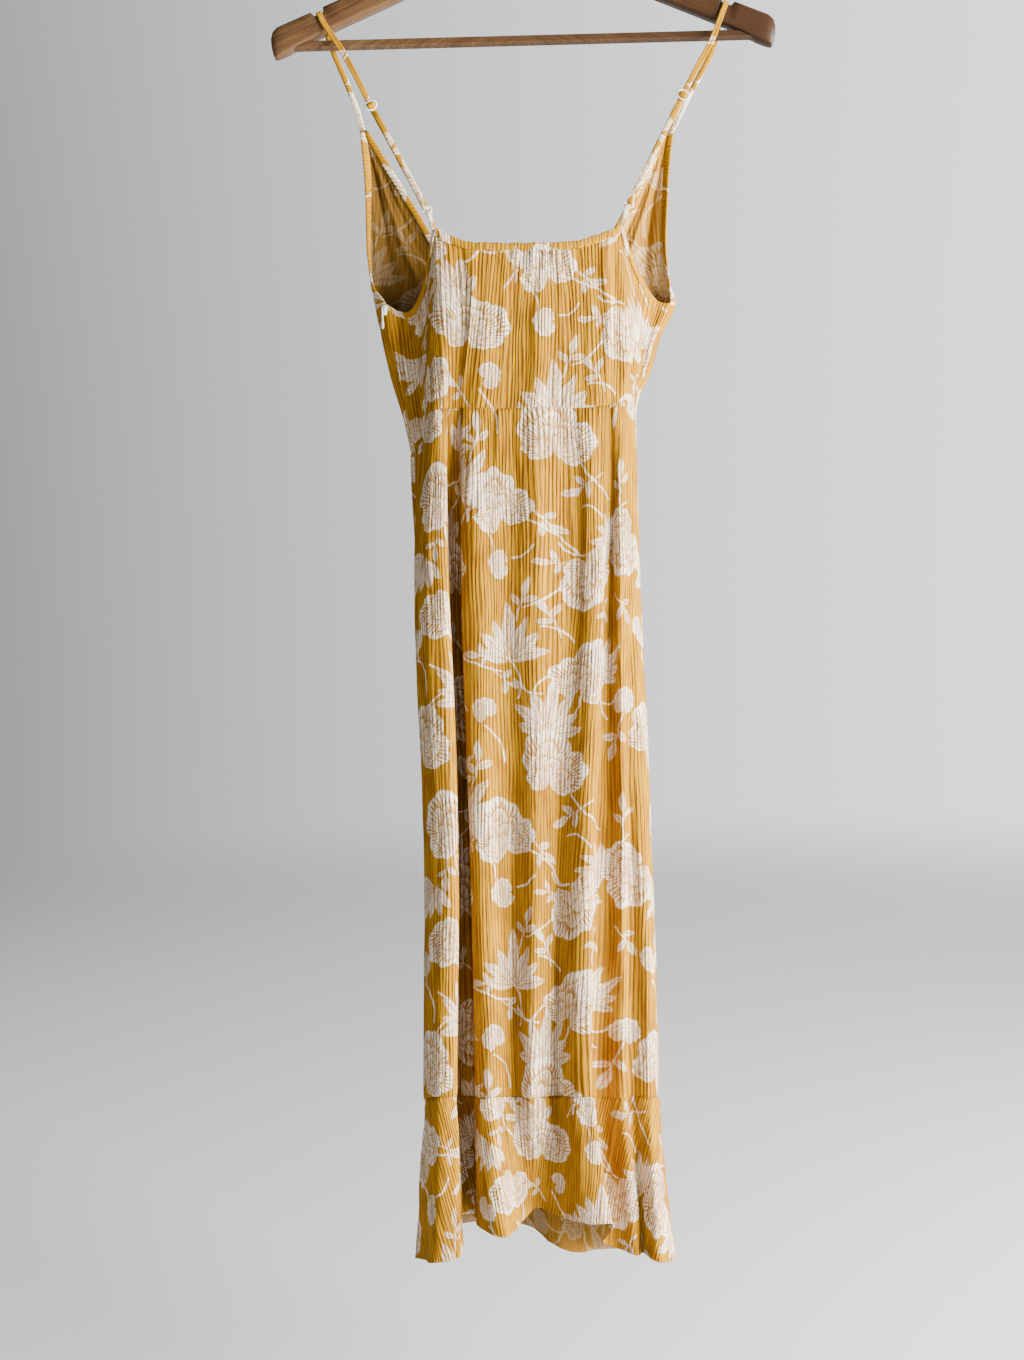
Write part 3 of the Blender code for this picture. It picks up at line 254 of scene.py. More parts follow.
# The strap through its slider, round its ring and back up to where it is sewn to the
# slider's bar: the piece it is measured from, how far below its middle and how far out.
STRAP_WEAVE = (
    ("slider", -4.2, -1.7),
    ("slider", 0.0, 1.7),
    ("slider", 4.2, -1.7),
    ("slider", 12.0, 1.2),
    ("ring", -33.9, 1.7),
    ("ring", -11.9, 2.3),
    ("ring", -3.9, 2.6),
    ("ring", -2.0, 1.9),
    ("ring", -1.3, 0.0),
    ("ring", -2.0, -1.9),
    ("ring", -3.9, -2.6),
    ("ring", -11.9, -2.3),
    ("ring", -33.9, -1.9),
    ("slider", 14.0, -2.4),
    ("slider", 5.0, -3.4),
    ("slider", 1.2, -2.0),
)
SLIDER_HALF_WIDTH = 5.3
SLIDER_HALF_HEIGHT = 4.2

# The tab through the ring, measured from the ring's middle in the same way.
TAB_LOOP = ((3.9, 2.3), (2.2, 1.7), (1.6, 0.0), (2.2, -1.7), (3.9, -2.3))
TAB_SPREAD = 1.3
TAB_HALF_WIDTH = 2.1
TAB_HALF_THICKNESS = 0.6
SHOULDER_SLOPE = 23.0

# How far each part of the hanger's arm lies from the middle: distance, level of its
# middle line, half its height.
ARM_COLUMNS = ("x", "z", "half_height")
ARM_STATIONS = {
    "middle": (0.0, -74.0, 13.0),
    "shoulder": (48.0, -84.0, 11.5),
    "slope": (105.0, -113.0, 10.0),
    "above_notch": (168.0, -140.3, 9.9),
    "below_notch": (190.0, -149.8, 10.2),
    "tip": (212.0, -160.0, 11.2),
}
ARM_TIP_SLOPE = 0.45
NOTCH_PLACE = 177.5
NOTCH_HALF_WIDTH = 5.5
NOTCH_DEPTH = 4.5
STRAP_REACH = 177.0

# %% [markdown]
# ## Curves through tables
#
# A drawn fold is only a few numbers. A cubic curve that passes through them gives the places in between, and
# keeps the surface smooth in both directions. The helpers below work on whole arrays at once, so a panel of
# fifty thousand points is quick.

# %% Curve helpers
def unit(vectors):
    """Each vector divided by its own length."""
    return vectors / np.maximum(np.linalg.norm(vectors, axis=-1, keepdims=True), 1e-9)


def through(knots, values, at):
    """A cubic through the values at the knots, whose slopes are those of the neighbours."""
    knots = np.asarray(knots, float)
    values = np.asarray(values, float)
    at = np.asarray(at, float)
    slopes = np.gradient(values, knots, axis=0)
    i = np.clip(np.searchsorted(knots, at, side="right") - 1, 0, len(knots) - 2)
    wide = (-1,) + (1,) * (values.ndim - 1)
    step = (knots[i + 1] - knots[i]).reshape(wide)
    t = ((at - knots[i]) / (knots[i + 1] - knots[i])).reshape(wide)
    start = (1 + 2 * t) * (1 - t) ** 2
    end = t * t * (3 - 2 * t)
    leave = t * (1 - t) ** 2 * step
    arrive = t * t * (t - 1) * step
    return start * values[i] + end * values[i + 1] + leave * slopes[i] + arrive * slopes[i + 1]


def table(rows, columns, *names):
    """The named columns of a table, in the order they are asked for."""
    marks = np.array(list(rows.values()), float)
    return marks[:, [columns.index(name) for name in names]]


def run_along(points):
    """Distance along a line of points, from its first one."""
    steps = np.linalg.norm(np.diff(points, axis=0), axis=1)
    return np.concatenate([[0.0], np.cumsum(steps)])


# %% The closed ring of the skirt
def fold_points(rows, stations):
    """Skirt folds at fractions of its length: x and y by a curve, z in a straight line."""
    x = table(rows, SKIRT_COLUMNS, "x_waist", "x_hip", "x_knee", "x_seam")
    y = table(rows, SKIRT_COLUMNS, "y_waist", "y_hip", "y_knee", "y_seam")
    top, bottom = table(rows, SKIRT_COLUMNS, "z_waist", "z_seam").T
    level = through(SKIRT_STATIONS, np.stack([x.T, y.T], axis=-1), stations)
    z = top + (bottom - top) * np.asarray(stations)[:, None]
    return np.concatenate([level, z[..., None]], axis=-1)


def ring_knots():
    """Where the folds lie along the ring: distances that grow with the root of each span."""
    waist = fold_points(SKIRT_FOLDS, (0.0, 0.5)).mean(axis=0)
    spans = np.sqrt(np.linalg.norm(np.roll(waist, -1, axis=0) - waist, axis=1))
    return np.concatenate([[0.0], np.cumsum(spans)])


def spread_round(folds, knots, places):
    """The closed ring of each section at places along it, from its folds' points."""
    total = knots[-1]
    inner = knots[:-1]
    ringed = np.concatenate([inner[-2:] - total, inner, inner[:2] + total])
    padded = np.concatenate([folds[:, -2:], folds, folds[:, :2]], axis=1)
    return np.moveaxis(through(ringed, np.moveaxis(padded, 1, 0), places), 0, 1)


KNOTS = ring_knots()
BACK_END = KNOTS[BACK_FOLDS - 1]
print("the ring has", len(FOLD_NAMES), "folds,", BACK_FOLDS, "of them on the back")

# %% Sections of the bodice
def back_bodice_sections(places, heights):
    """Back bodice sections: fractions 0 at the waist seam to 1 at the top edge."""
    waist = fold_points(SKIRT_FOLDS, (0.0,))[0]
    top = table(BACK_BODICE, BODICE_COLUMNS, "x_top", "y_top", "z_top")
    middle = table(BACK_BODICE, BODICE_COLUMNS, "x_middle", "y_middle")
    middle = np.column_stack([middle, (top[:, 2] + waist[:BACK_FOLDS, 2]) / 2])
    levels = np.stack([waist[:BACK_FOLDS], middle, top])
    right = np.stack([waist[BACK_FOLDS]] * 3)
    left = np.stack([waist[-1]] * 3)
    right[1:, :2] = table(FRONT_RIGHT, FRONT_COLUMNS, "turn_x", "turn_y")[[2, 4]]
    left[1:, :2] = table(FRONT_LEFT, FRONT_COLUMNS, "turn_x", "turn_y")[[2, 4]]
    right[1:, 2] = levels[1:, -1, 2]
    left[1:, 2] = levels[1:, 0, 2]
    padded = np.concatenate([left[:, None], levels, right[:, None]], axis=1)
    ends = np.concatenate([[KNOTS[-2] - KNOTS[-1]], KNOTS[: BACK_FOLDS + 1]])
    flat = np.moveaxis(through(ends, np.moveaxis(padded, 1, 0), places), 0, 1)
    return through((0.0, 0.5, 1.0), flat, heights)


def back_bodice_grid(places, heights):
    """Back bodice sections whose two ends follow the side seams of the front pieces."""
    grid = back_bodice_sections(places, heights)
    ends = (FRONT_LEFT, 0.0, KNOTS[2]), (FRONT_RIGHT, BACK_END, BACK_END - KNOTS[BACK_FOLDS - 3])
    for rows, seam, reach in ends:
        seam_line = table(rows, FRONT_COLUMNS, "outer_x", "outer_y", "outer_z")
        line = through(np.arange(len(rows)), seam_line, np.asarray(heights) * UNDERARM_ROW)
        own = back_bodice_sections(np.array([seam]), heights)[:, 0]
        fade = np.clip(1 - np.abs(np.asarray(places) - seam) / reach, 0, 1) ** 2
        grid = grid + (line - own)[:, None] * fade[None, :, None]
    return grid


def front_grid(side, at, shares):
    """Front bodice sections at row places and shares of the way from outer to inner edge."""
    rows = FRONTS[side]
    marks = through(np.arange(len(rows)), table(rows, FRONT_COLUMNS, *FRONT_COLUMNS), at)
    outer, turn, belly, inner = np.split(marks, (3, 5, 7), axis=1)
    limit = np.maximum if side == "right" else np.minimum
    inner[:, 0] = limit(inner[:, 0], rows["waist"][FRONT_COLUMNS.index("inner_x")])
    flat = np.stack([outer[:, :2], turn, belly, inner[:, :2]])
    out = np.empty(shares.shape + (3,))
    for i in range(len(at)):
        out[i, :, :2] = through(FRONT_KNOTS, flat[:, i], shares[i])
        out[i, :, 2] = outer[i, 2] + (inner[i, 2] - outer[i, 2]) * shares[i]
    return out


# %% [markdown]
# ## Crinkle, creases and gathers
#
# The cloth is a viscose crepe that was twisted wet, so it is covered in fine upright ridges. The broad ones,
# 7 to 15 mm apart, catch the light and are made in the mesh from a lattice of random heights, blended
# smoothly, and stretched far more down the cloth than across it. The fine ones, about 3 mm apart, are left
# to the material's bump. The long soft creases that run down from the seams are listed in tables.

# %% Soft noise
LATTICE = (97, 89)
FULL_CRINKLE, LOW_CRINKLE = 0.42, 0.36
SEAM_HOLD = 1.6


def soft_noise(u, v, wide, tall, seed):
    """Random heights from -1 to 1 on a lattice of wide by tall cells, blended smoothly."""
    lattice = np.random.default_rng(seed).uniform(-1, 1, LATTICE)
    x, y = np.asarray(u) / wide, np.asarray(v) / tall
    i, j = np.floor(x).astype(int), np.floor(y).astype(int)
    s, t = x - i, y - j
    s, t = s * s * (3 - 2 * s), t * t * (3 - 2 * t)
    steps = ((0, 0), (1, 0), (0, 1), (1, 1))
    corner = [lattice[(i + a) % LATTICE[0], (j + b) % LATTICE[1]] for a, b in steps]
    low = corner[0] + (corner[1] - corner[0]) * s
    high = corner[2] + (corner[3] - corner[2]) * s
    return low + (high - low) * t


def crinkle(u, v, seed, depth=FULL_CRINKLE):
    """Upright ridges of crepe: two layers of stretched noise, bending a little together."""
    sway = 2.5 * soft_noise(u, v, 60, 45, seed + 7)
    fine = soft_noise(u + sway, v, 3.4, 34, seed)
    broad = soft_noise(u + sway, v, 7.5, 90, seed + 1)
    return depth * (0.75 * fine + 1.0 * broad)


def creases(u, v, rows):
    """Long soft folds: each row is a line on the cloth, with a width and a height.

    The height falls off as a bell across the line and fades to nothing at both its ends.
    """
    u = u + 2.0 * soft_noise(u, v, 40, 35, 5)
    lift = np.zeros(np.broadcast(u, v).shape)
    for u0, v0, u1, v1, width, height in rows:
        way = np.array([u1 - u0, v1 - v0], float)
        share = ((u - u0) * way[0] + (v - v0) * way[1]) / (way @ way)
        off = ((u - u0) * way[1] - (v - v0) * way[0]) / np.sqrt(way @ way)
        held = np.clip(4 * share * (1 - share), 0, 1) ** 0.7
        lift += height * held * np.exp(-((off / width) ** 2))
    return lift


def fade_from(distance, reach):
    """1 at a seam, falling smoothly to 0 at reach millimetres away from it."""
    t = np.clip(1 - distance / reach, 0, 1)
    return t * t * (3 - 2 * t)


def free_of(distance):
    """0 at a seam, which holds the cloth down, and 1 a few millimetres away from it."""
    return 1 - np.exp(-((distance / SEAM_HOLD) ** 2))


def ripples(u, v, seed, rows):
    """Layers of soft noise: height, cell width and length, step of the seed, and where."""
    layers = [h * soft_noise(u, v, wide, tall, seed + n) * where for h, wide, tall, n, where in rows]
    return sum(layers)


# %% [markdown]
# ## Making a panel
#
# A panel is cut from one grid of points. Its UV map holds the real distances across and
# down the cloth in metres, so the print has its true size on every panel and bends with
# the folds. Solidify gives the cloth its thickness afterwards, and puts a second, duller
# material on the wrong side.

# %% Panel helpers
CLOTH_THICKNESS = 0.5
COLUMN_STEP = 1.25
ROW_STEP = 5.0
EDGE_ROWS = np.array([0.0, 0.8, 1.6, 2.5, 3.6, 5.2, 7.6])
FINE_PLACES = 4000


def surface_normals(grid, towards):
    """Directions square to the surface, on the side that `towards` points to."""
    down = np.gradient(grid, axis=0)
    across = np.gradient(grid, axis=1)
    normals = unit(np.cross(across, down))
    return normals * np.sign((normals * towards).sum(axis=-1, keepdims=True) + 1e-9)


def away_from(grid):
    """Level directions out of the closed dress, from the turn of each section's own line."""
    along = np.gradient(grid, axis=1) * (1.0, 1.0, 0.0)
    return unit(np.stack([along[..., 1], -along[..., 0], np.zeros(grid.shape[:2])], axis=-1))


def rows_for(length, step=ROW_STEP):
    """Distances down a panel: close together at both edges, where seams need them."""
    inner = length - 2 * EDGE_ROWS[-1]
    middle = np.linspace(EDGE_ROWS[-1], length - EDGE_ROWS[-1], int(inner / step) + 2)[1:-1]
    return np.concatenate([EDGE_ROWS, middle, length - EDGE_ROWS[::-1]])


def even_places(first, last, section, step=COLUMN_STEP):
    """Places that lie evenly along a section's line, and their distances along it."""
    fine = np.linspace(first, last, FINE_PLACES)
    run = run_along(section(fine))
    even = np.linspace(0, run[-1], int(run[-1] / step) + 2)
    return np.interp(even, run, fine), even


def place_object(name, data):
    """A new object at the origin, linked to the scene."""
    made = bpy.data.objects.new(name, data)
    bpy.context.scene.collection.objects.link(made)
    return made


def make_surface(name, grid, outward, u, v, materials, thickness=CLOTH_THICKNESS, offset=0.0):
    """A mesh from a grid of points in millimetres, with its UV map in metres."""
    rows, columns = grid.shape[:2]
    index = np.arange(rows * columns, dtype=np.int32).reshape(rows, columns)
    around = index[:-1, :-1], index[:-1, 1:], index[1:, 1:], index[1:, :-1]
    quads = np.stack(around, axis=-1).reshape(-1, 4)
    points = grid.reshape(-1, 3)
    corner = points[quads]
    facing = np.cross(corner[:, 1] - corner[:, 0], corner[:, 2] - corner[:, 0])
    if (facing * outward.reshape(-1, 3)[quads[:, 0]]).sum() < 0:
        quads = quads[:, ::-1]
    mesh = bpy.data.meshes.new(name)
    mesh.vertices.add(len(points))
    mesh.vertices.foreach_set("co", (points * MM).ravel())
    mesh.loops.add(quads.size)
    mesh.loops.foreach_set("vertex_index", quads.ravel())
    mesh.polygons.add(len(quads))
    mesh.polygons.foreach_set("loop_start", np.arange(0, quads.size, 4, dtype=np.int32))
    mesh.update(calc_edges=True)
    flat = np.stack([np.broadcast_to(way, (rows, columns)) for way in (u, v)], axis=-1)
    at_corners = flat.reshape(-1, 2)[quads.ravel()] * MM
    mesh.uv_layers.new(name="cloth").data.foreach_set("uv", at_corners.ravel())
    mesh.shade_smooth()
    for material in materials:
        mesh.materials.append(material)
    piece = place_object(name, mesh)
    if thickness:
        wall = piece.modifiers.new("cloth thickness", "SOLIDIFY")
        wall.thickness = thickness * MM
        wall.offset = offset
        wall.material_offset = len(materials) - 1
    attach(piece, "garment")
    print(name, "has", len(quads), "faces")
    return piece


def cloth_area(grid):
    """The area of a grid's quads, in square metres."""
    a = grid[1:, 1:] - grid[:-1, :-1]
    b = grid[1:, :-1] - grid[:-1, 1:]
    return float(np.linalg.norm(np.cross(a, b), axis=-1).sum() / 2 * MM * MM)


def declare(piece, grid, rests_on, *nodes):
    """Works out the area of a cloth piece, which is not kept, and hides the solids that the piece stands
    for.
    """
    cloth_area(grid)
    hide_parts(*nodes)


# %% [markdown]
# ## Maths on sockets
#
# Shader formulas are easier to read as formulas. A small class wraps a socket, so that
# adding or multiplying two of them places the Math node and makes its links.

# %% Wires
def feed(tree, socket, value):
    """Links a wire to a socket, or sets the socket to a plain value."""
    if isinstance(value, Wire):
        tree.links.new(value.socket, socket)
    else:
        socket.default_value = value


class Wire:
    """A number socket that can be added, multiplied and compared; each step is a Math node."""

    def __init__(self, socket):
        self.socket = socket
        self.tree = socket.id_data

    def math(self, operation, *others, clamp=False):
        node = self.tree.nodes.new("ShaderNodeMath")
        node.operation = operation
        node.use_clamp = clamp
        for socket, value in zip(node.inputs, (self, *others)):
            feed(self.tree, socket, value)
        return Wire(node.outputs[0])

    def __add__(self, other):
        return self.math("ADD", other)

    def __sub__(self, other):
        return self.math("SUBTRACT", other)

    def __rsub__(self, other):
        return (self * -1.0).math("ADD", other)

    def __mul__(self, other):
        return self.math("MULTIPLY", other)

    def __truediv__(self, other):
        return self.math("DIVIDE", other)

    def __lt__(self, other):
        return self.math("LESS_THAN", other)

    def most(self, other):
        return self.math("MAXIMUM", other)

    def least(self, other):
        return self.math("MINIMUM", other)

    def size(self):
        return self.math("ABSOLUTE")

    def sharp(self, gain):
        """0 below zero, 1 above, with a slope of gain between them."""
        return self.math("MULTIPLY_ADD", gain, 0.5, clamp=True)


def vector_step(operation, *values, out=0):
    """A Vector Math node on wires and plain vectors; out=1 asks for its number."""
    tree = next(value.tree for value in values if isinstance(value, Wire))
    node = tree.nodes.new("ShaderNodeVectorMath")
    node.operation = operation
    slots = (0, 3) if operation == "SCALE" else (0, 1, 2)
    for i, value in zip(slots, values):
        feed(tree, node.inputs[i], value)
    return Wire(node.outputs["Value" if out else 0])


def split(vector):
    node = vector.tree.nodes.new("ShaderNodeSeparateXYZ")
    vector.tree.links.new(vector.socket, node.inputs[0])
    return [Wire(socket) for socket in node.outputs]


def join(x, y, z=0.0):
    node = x.tree.nodes.new("ShaderNodeCombineXYZ")
    for socket, value in zip(node.inputs, (x, y, z)):
        feed(x.tree, socket, value)
    return Wire(node.outputs[0])


def noise(vector, scale, detail=2.0, rough=0.5, out="Fac"):
    node = vector.tree.nodes.new("ShaderNodeTexNoise")
    node.noise_dimensions = "2D"
    node.inputs["Scale"].default_value = scale
    node.inputs["Detail"].default_value = detail
    node.inputs["Roughness"].default_value = rough
    vector.tree.links.new(vector.socket, node.inputs["Vector"])
    return Wire(node.outputs[out])


def new_group(name, outputs):
    """An empty group that takes a place on the cloth: its tree, that place, its output node."""
    tree = bpy.data.node_groups.new(name, "ShaderNodeTree")
    tree.interface.new_socket("Place", in_out="INPUT", socket_type="NodeSocketVector")
    for label, kind in outputs:
        tree.interface.new_socket(label, in_out="OUTPUT", socket_type=kind)
    start = tree.nodes.new("NodeGroupInput")
    return tree, Wire(start.outputs[0]), tree.nodes.new("NodeGroupOutput")


def map_range(tree, value, source, target=(0.0, 1.0), kind="LINEAR"):
    """A Map Range node: carries a value from one span to another, and clamps it there."""
    node = tree.nodes.new("ShaderNodeMapRange")
    node.interpolation_type = kind
    feed(tree, node.inputs["Value"], value)
    for label, level in zip(("From Min", "From Max", "To Min", "To Max"), (*source, *target)):
        node.inputs[label].default_value = level
    return Wire(node.outputs["Result"])


# %% [markdown]
# ## The print
#
# The cloth is printed with white peonies, round buds, fans of leaves and small sprigs on
# curved stems. A picture file would be the usual way. Here the print is drawn with
# formulas, so it stays sharp at any distance: a chart says where each motif stands in a
# repeat 300 by 286 mm, and for every point of the cloth the nearest motif of each kind is
# found, turned upright and drawn once.

# %% Chart of the repeat
TILE = (300.0, 286.0)
# x, y, size, turn in degrees, variant: millimetres across and down the cloth
PEONIES = (
    (33, 34, 28, 165, 1.0), (112, 104, 27, -25, 2.0), (84, 262, 29, 190, 3.0), (111, 184, 28, 200, 4.0),
    (160, 76, 26, 60, 5.0), (218, 30, 28, 150, 6.0), (268, 88, 29, 185, 7.5), (196, 238, 27, 210, 8.0),
    (270, 214, 25, 300, 9.0), (222, 138, 25, 20, 7.0),
)
BUDS = (
    (33, 89, 11, 90, 1.0), (17, 216, 11, 150, 2.0), (163, 211, 12, 200, 3.0),
    (186, 150, 11, 30, 4.0), (290, 136, 11, 250, 5.0),
)
FANS = (
    (6, 12, 25, 215, 1.0), (43, 150, 27, 178, 2.0), (79, 215, 27, 185, 3.0), (136, 170, 22, 205, 4.0),
    (128, 66, 20, 120, 5.0), (246, 56, 22, 130, 6.0), (232, 190, 24, 160, 7.0), (192, 98, 20, 40, 8.0),
    (288, 268, 24, 240, 9.0),
)
SPRIGS = (
    (101, 24, 18, 70, 1.0), (128, 140, 16, 20, 2.0), (76, 132, 17, 150, 3.0), (57, 117, 17, 205, 4.0),
    (13, 169, 14, 100, 5.0), (42, 192, 16, 300, 6.0), (12, 262, 19, 190, 7.0), (162, 134, 16, 330, 8.0),
    (150, 244, 19, 25, 9.0), (158, 20, 17, 185, 1.5), (76, 56, 17, 310, 2.5), (78, 88, 14, 95, 3.5),
    (244, 254, 18, 60, 4.5), (214, 76, 15, 10, 5.5), (258, 146, 17, 130, 6.5), (276, 22, 17, 220, 7.5),
)
# start x, y, end x, y, how far the curve bows out to its left
STEMS = (
    (38, 48, 96, 82, 9), (46, 84, 66, 74, -3), (94, 268, 138, 322, -8), (100, 40, 122, 52, 4),
    (56, 128, 92, 96, -6), (40, 168, 50, 206, 7), (18, 230, 36, 262, 6), (106, 206, 92, 226, 4),
    (128, 210, 150, 208, -3), (70, 144, 96, 158, 4), (222, 50, 252, 92, -9), (240, 156, 226, 186, 6),
    (180, 108, 206, 84, -5), (204, 214, 262, 196, 9), (258, 74, 276, 112, -7), (186, 166, 200, 204, 6),
)
print(len(PEONIES) + len(BUDS) + len(FANS) + len(SPRIGS), "motifs in the repeat")


# %% Motif formulas
# Half a repeat across and down; the third number only has to be out of the way.
HALF_TILE = (TILE[0] / 2, TILE[1] / 2, 9e3)
PETAL_ROWS = 4.0
LEAVES_APART = 0.47
LEAVES_A_SIDE = 3.0
# Each leaf of a sprig: where it leaves the stalk, its turn in degrees, length, width.
SPRIG_LEAVES = (
    ((0.0, -0.05), 8, 1.05, 0.2),
    ((0.02, -0.3), -58, 0.85, 0.17),
    ((-0.02, -0.5), 62, 0.8, 0.16),
)


def wrapped(local):
    """A place moved by whole repeats until it is within half a repeat of the middle."""
    return vector_step("WRAP", local, HALF_TILE, tuple(-half for half in HALF_TILE))


def nearest(place, chart):
    """The place inside the chart's nearest motif, turned upright, scaled to size 1."""
    best = None
    for x, y, size, turn, variant in chart:
        local = wrapped(vector_step("SUBTRACT", place, (x, y, -variant * size)))
        node = place.tree.nodes.new("ShaderNodeVectorRotate")
        node.rotation_type = "Z_AXIS"
        node.inputs["Angle"].default_value = -math.radians(turn)
        place.tree.links.new(local.socket, node.inputs["Vector"])
        local = vector_step("SCALE", Wire(node.outputs[0]), 1 / size)
        away = vector_step("DISTANCE", local, (0, 0, variant), out=1)
        if best is None:
            best, best_away = local, away
            continue
        pick = place.tree.nodes.new("ShaderNodeMix")
        pick.data_type = "VECTOR"
        place.tree.links.new((away < best_away).socket, pick.inputs[0])
        place.tree.links.new(best.socket, pick.inputs[4])
        place.tree.links.new(local.socket, pick.inputs[5])
        best, best_away = Wire(pick.outputs[1]), away.least(best_away)
    return split(best)


def blossom(local, lobes, veins, soft):
    """A head of petals that spread upwards from the end of its stalk, in four rows.

    In polar form round the stalk's end, the outline is a fan that shortens to its sides,
    cut by a few deep dips and many small scallops. The rows are scalloped rings of the
    same outline. Each petal is hatched at its base and clears towards its tip.
    """
    x, y, variant = local
    low = y + 0.5
    angle = x.math("ARCTAN2", low)
    radius = (x * x + low * low).math("SQRT")
    reach = 1.42 - angle * angle * 0.16
    dips = (angle * lobes + variant * 1.3).math("SINE").size() * 0.3 + 0.72
    frills = (angle * 6.3 + variant * 2.1).math("SINE").size() * 0.1
    edge = reach * dips + frills
    body = (edge - radius).sharp(soft)
    share = radius / edge.most(0.1)
    scallop = (angle * 3.7 + variant + share * 5.5).math("SINE").size()
    row = (share * PETAL_ROWS - scallop * 0.6 + 0.6).least(PETAL_ROWS - 0.05).math("FRACT")
    stripe = ((angle * 8.5 + share * 0.7).math("FRACT") - 0.5).size() * 2.0
    hatch = (0.85 - row * 0.75 - stripe).sharp(4)
    rim = (0.16 - row).sharp(10)
    return body * (1.0 - hatch.most(rim) * veins)


def leaf(x, y, length, width, soft):
    """One leaf along +y from the origin: a lens of parabolic sides, less its midrib and veins."""
    t = y / length
    side = x.size()
    body = (t * (1.0 - t) * (4 * width) - side).sharp(soft)
    rib = (0.02 - side).sharp(40)
    vein = ((t * 7.0 - side * 9.0).math("FRACT") - 0.72).sharp(5)
    return body * (1.0 - rib.most(vein * 0.8) * 0.85)


def turned(x, y, base, degrees):
    """Places measured from a base point, with +y along a direction that far off upright."""
    c, s = math.cos(math.radians(degrees)), math.sin(math.radians(degrees))
    x, y = x - base[0], y - base[1]
    return x * c - y * s, x * s + y * c


def leaf_fan(local, soft):
    """Seven leaves that spread from one stalk: the angle is folded into seven sectors."""
    x, y, variant = local
    low = y + 0.8
    angle = x.math("ARCTAN2", low)
    reach = (x * x + low * low).math("SQRT")
    number = (angle / LEAVES_APART).math("ROUND").most(-LEAVES_A_SIDE).least(LEAVES_A_SIDE)
    off = angle - number * LEAVES_APART
    length = 1.72 - number.size() * 0.2 + (number * 2.3 + variant).math("SINE") * 0.16
    side = off.math("SINE") * reach
    return leaf(side, off.math("COSINE") * reach / length, 1.0, 0.21, soft)


def sprig(local, soft):
    """Three leaves on a short bent stalk."""
    x, y, variant = local
    bend = (variant * 1.7).math("SINE") * 0.12
    x = x + bend * y * y
    shape = None
    for base, degrees, length, width in SPRIG_LEAVES:
        one = leaf(*turned(x, y, base, degrees), length, width, soft)
        shape = one if shape is None else shape.most(one)
    stalk = (0.035 - x.size()).sharp(soft) * (y < 0.05)
    return shape.most(stalk * (-1.35 - y < 0.0))


def stem(place, x0, y0, x1, y1, bow):
    """An arc between two points: near its circle, and between the ends along its chord."""
    start, end = np.array([x0, y0], float), np.array([x1, y1], float)
    middle, chord = (start + end) / 2, end - start
    half = np.linalg.norm(chord) / 2
    chord = chord / (2 * half)
    side = np.array([chord[1], -chord[0]])
    radius = (half * half + bow * bow) / (2 * abs(bow))
    centre = -side * np.sign(bow) * (radius - abs(bow))
    local = wrapped(vector_step("SUBTRACT", place, (*middle, 0.0)))
    off = (vector_step("DISTANCE", local, (*centre, 0.0), out=1) - radius).size()
    within = vector_step("DOT_PRODUCT", local, (*chord, 0.0), out=1).size() < half
    return (0.8 - off).sharp(1.4) * within


# %% Print group
def print_group():
    """The whole print as one group: place on the cloth in metres in, amount of white out."""
    tree, place, end = new_group("peony print", [("White", "NodeSocketFloat")])
    place = vector_step("SCALE", place, 1000.0)
    wobble = vector_step("SUBTRACT", noise(place, 0.07, 3.0, 0.6, "Color"), (0.5, 0.5, 0.5))
    place = vector_step("MULTIPLY_ADD", wobble, (5.0, 5.0, 0.0), place)
    white = blossom(nearest(place, PEONIES), 1.5, 0.9, 30)
    white = white.most(blossom(nearest(place, BUDS), 0.5, 0.75, 16))
    white = white.most(leaf_fan(nearest(place, FANS), 26) * 0.88)
    white = white.most(sprig(nearest(place, SPRIGS), 18) * 0.86)
    for row in STEMS:
        white = white.most(stem(place, *row) * 0.9)
    tree.links.new(white.socket, end.inputs["White"])
    print("print group has", len(tree.nodes), "nodes")
    return tree


PRINT = print_group()


# %% Crinkle group
# Grooves in a metre of cloth, and how many cells of each noise a metre holds across and
# down: the one that bends the grooves, the forks, the roughness and the depth.
GROOVES = 310.0
CRINKLE_NOISES = ((60.0, 9.0), (330.0, 14.0), (1000.0, 60.0), (110.0, 30.0))


def crinkle_group():
    """Fine upright ridges: a height for the bump, and a mask for the shade painted into their valleys.

    The grooves are a saw of places across the cloth. Stretched noise shifts it, so that
    the grooves waver, crowd and part. A second set runs where noise crosses its middle
    value, which gives the forks, and finer noise roughens the whole.
    """
    outputs = [("Height", "NodeSocketFloat"), ("Valley", "NodeSocketFloat"), ("Moved", "NodeSocketVector")]
    tree, place, end = new_group("crepe crinkle", outputs)
    wide, narrow, fine, depth = (
        noise(vector_step("MULTIPLY", place, (*cells, 0.0)), 1.0, 1.0) for cells in CRINKLE_NOISES
    )
    groove = split(place)[0] * GROOVES + wide * 2.2 + narrow * 0.3
    first = ((groove.math("FRACT") - 0.5).size() * 2.8 + (depth - 0.5) * 1.6).math("ADD", 0.0, clamp=True)
    second = ((narrow - 0.48).size() * 14.0).least(1.0)
    height = first * 0.6 + second * 0.3 + fine * 0.3
    moved = join((wide - 0.5) * 0.0025, (fine - 0.5) * 0.0008)
    tree.links.new(height.socket, end.inputs["Height"])
    # The valley mask, which darkens the colour as painted shade.
    tree.links.new((1.0 - first * (second * 0.5 + 0.5)).socket, end.inputs["Valley"])
    tree.links.new(vector_step("ADD", place, moved).socket, end.inputs["Moved"])
    return tree


CRINKLE = crinkle_group()

# %% [markdown]
# ## Materials
#
# The right side of the cloth is a warm yellow with an off-white print. The wrong side is
# the same cloth seen from the back, where the dye is duller and the print has come
# through paler. Both use the same two groups with their own colours.

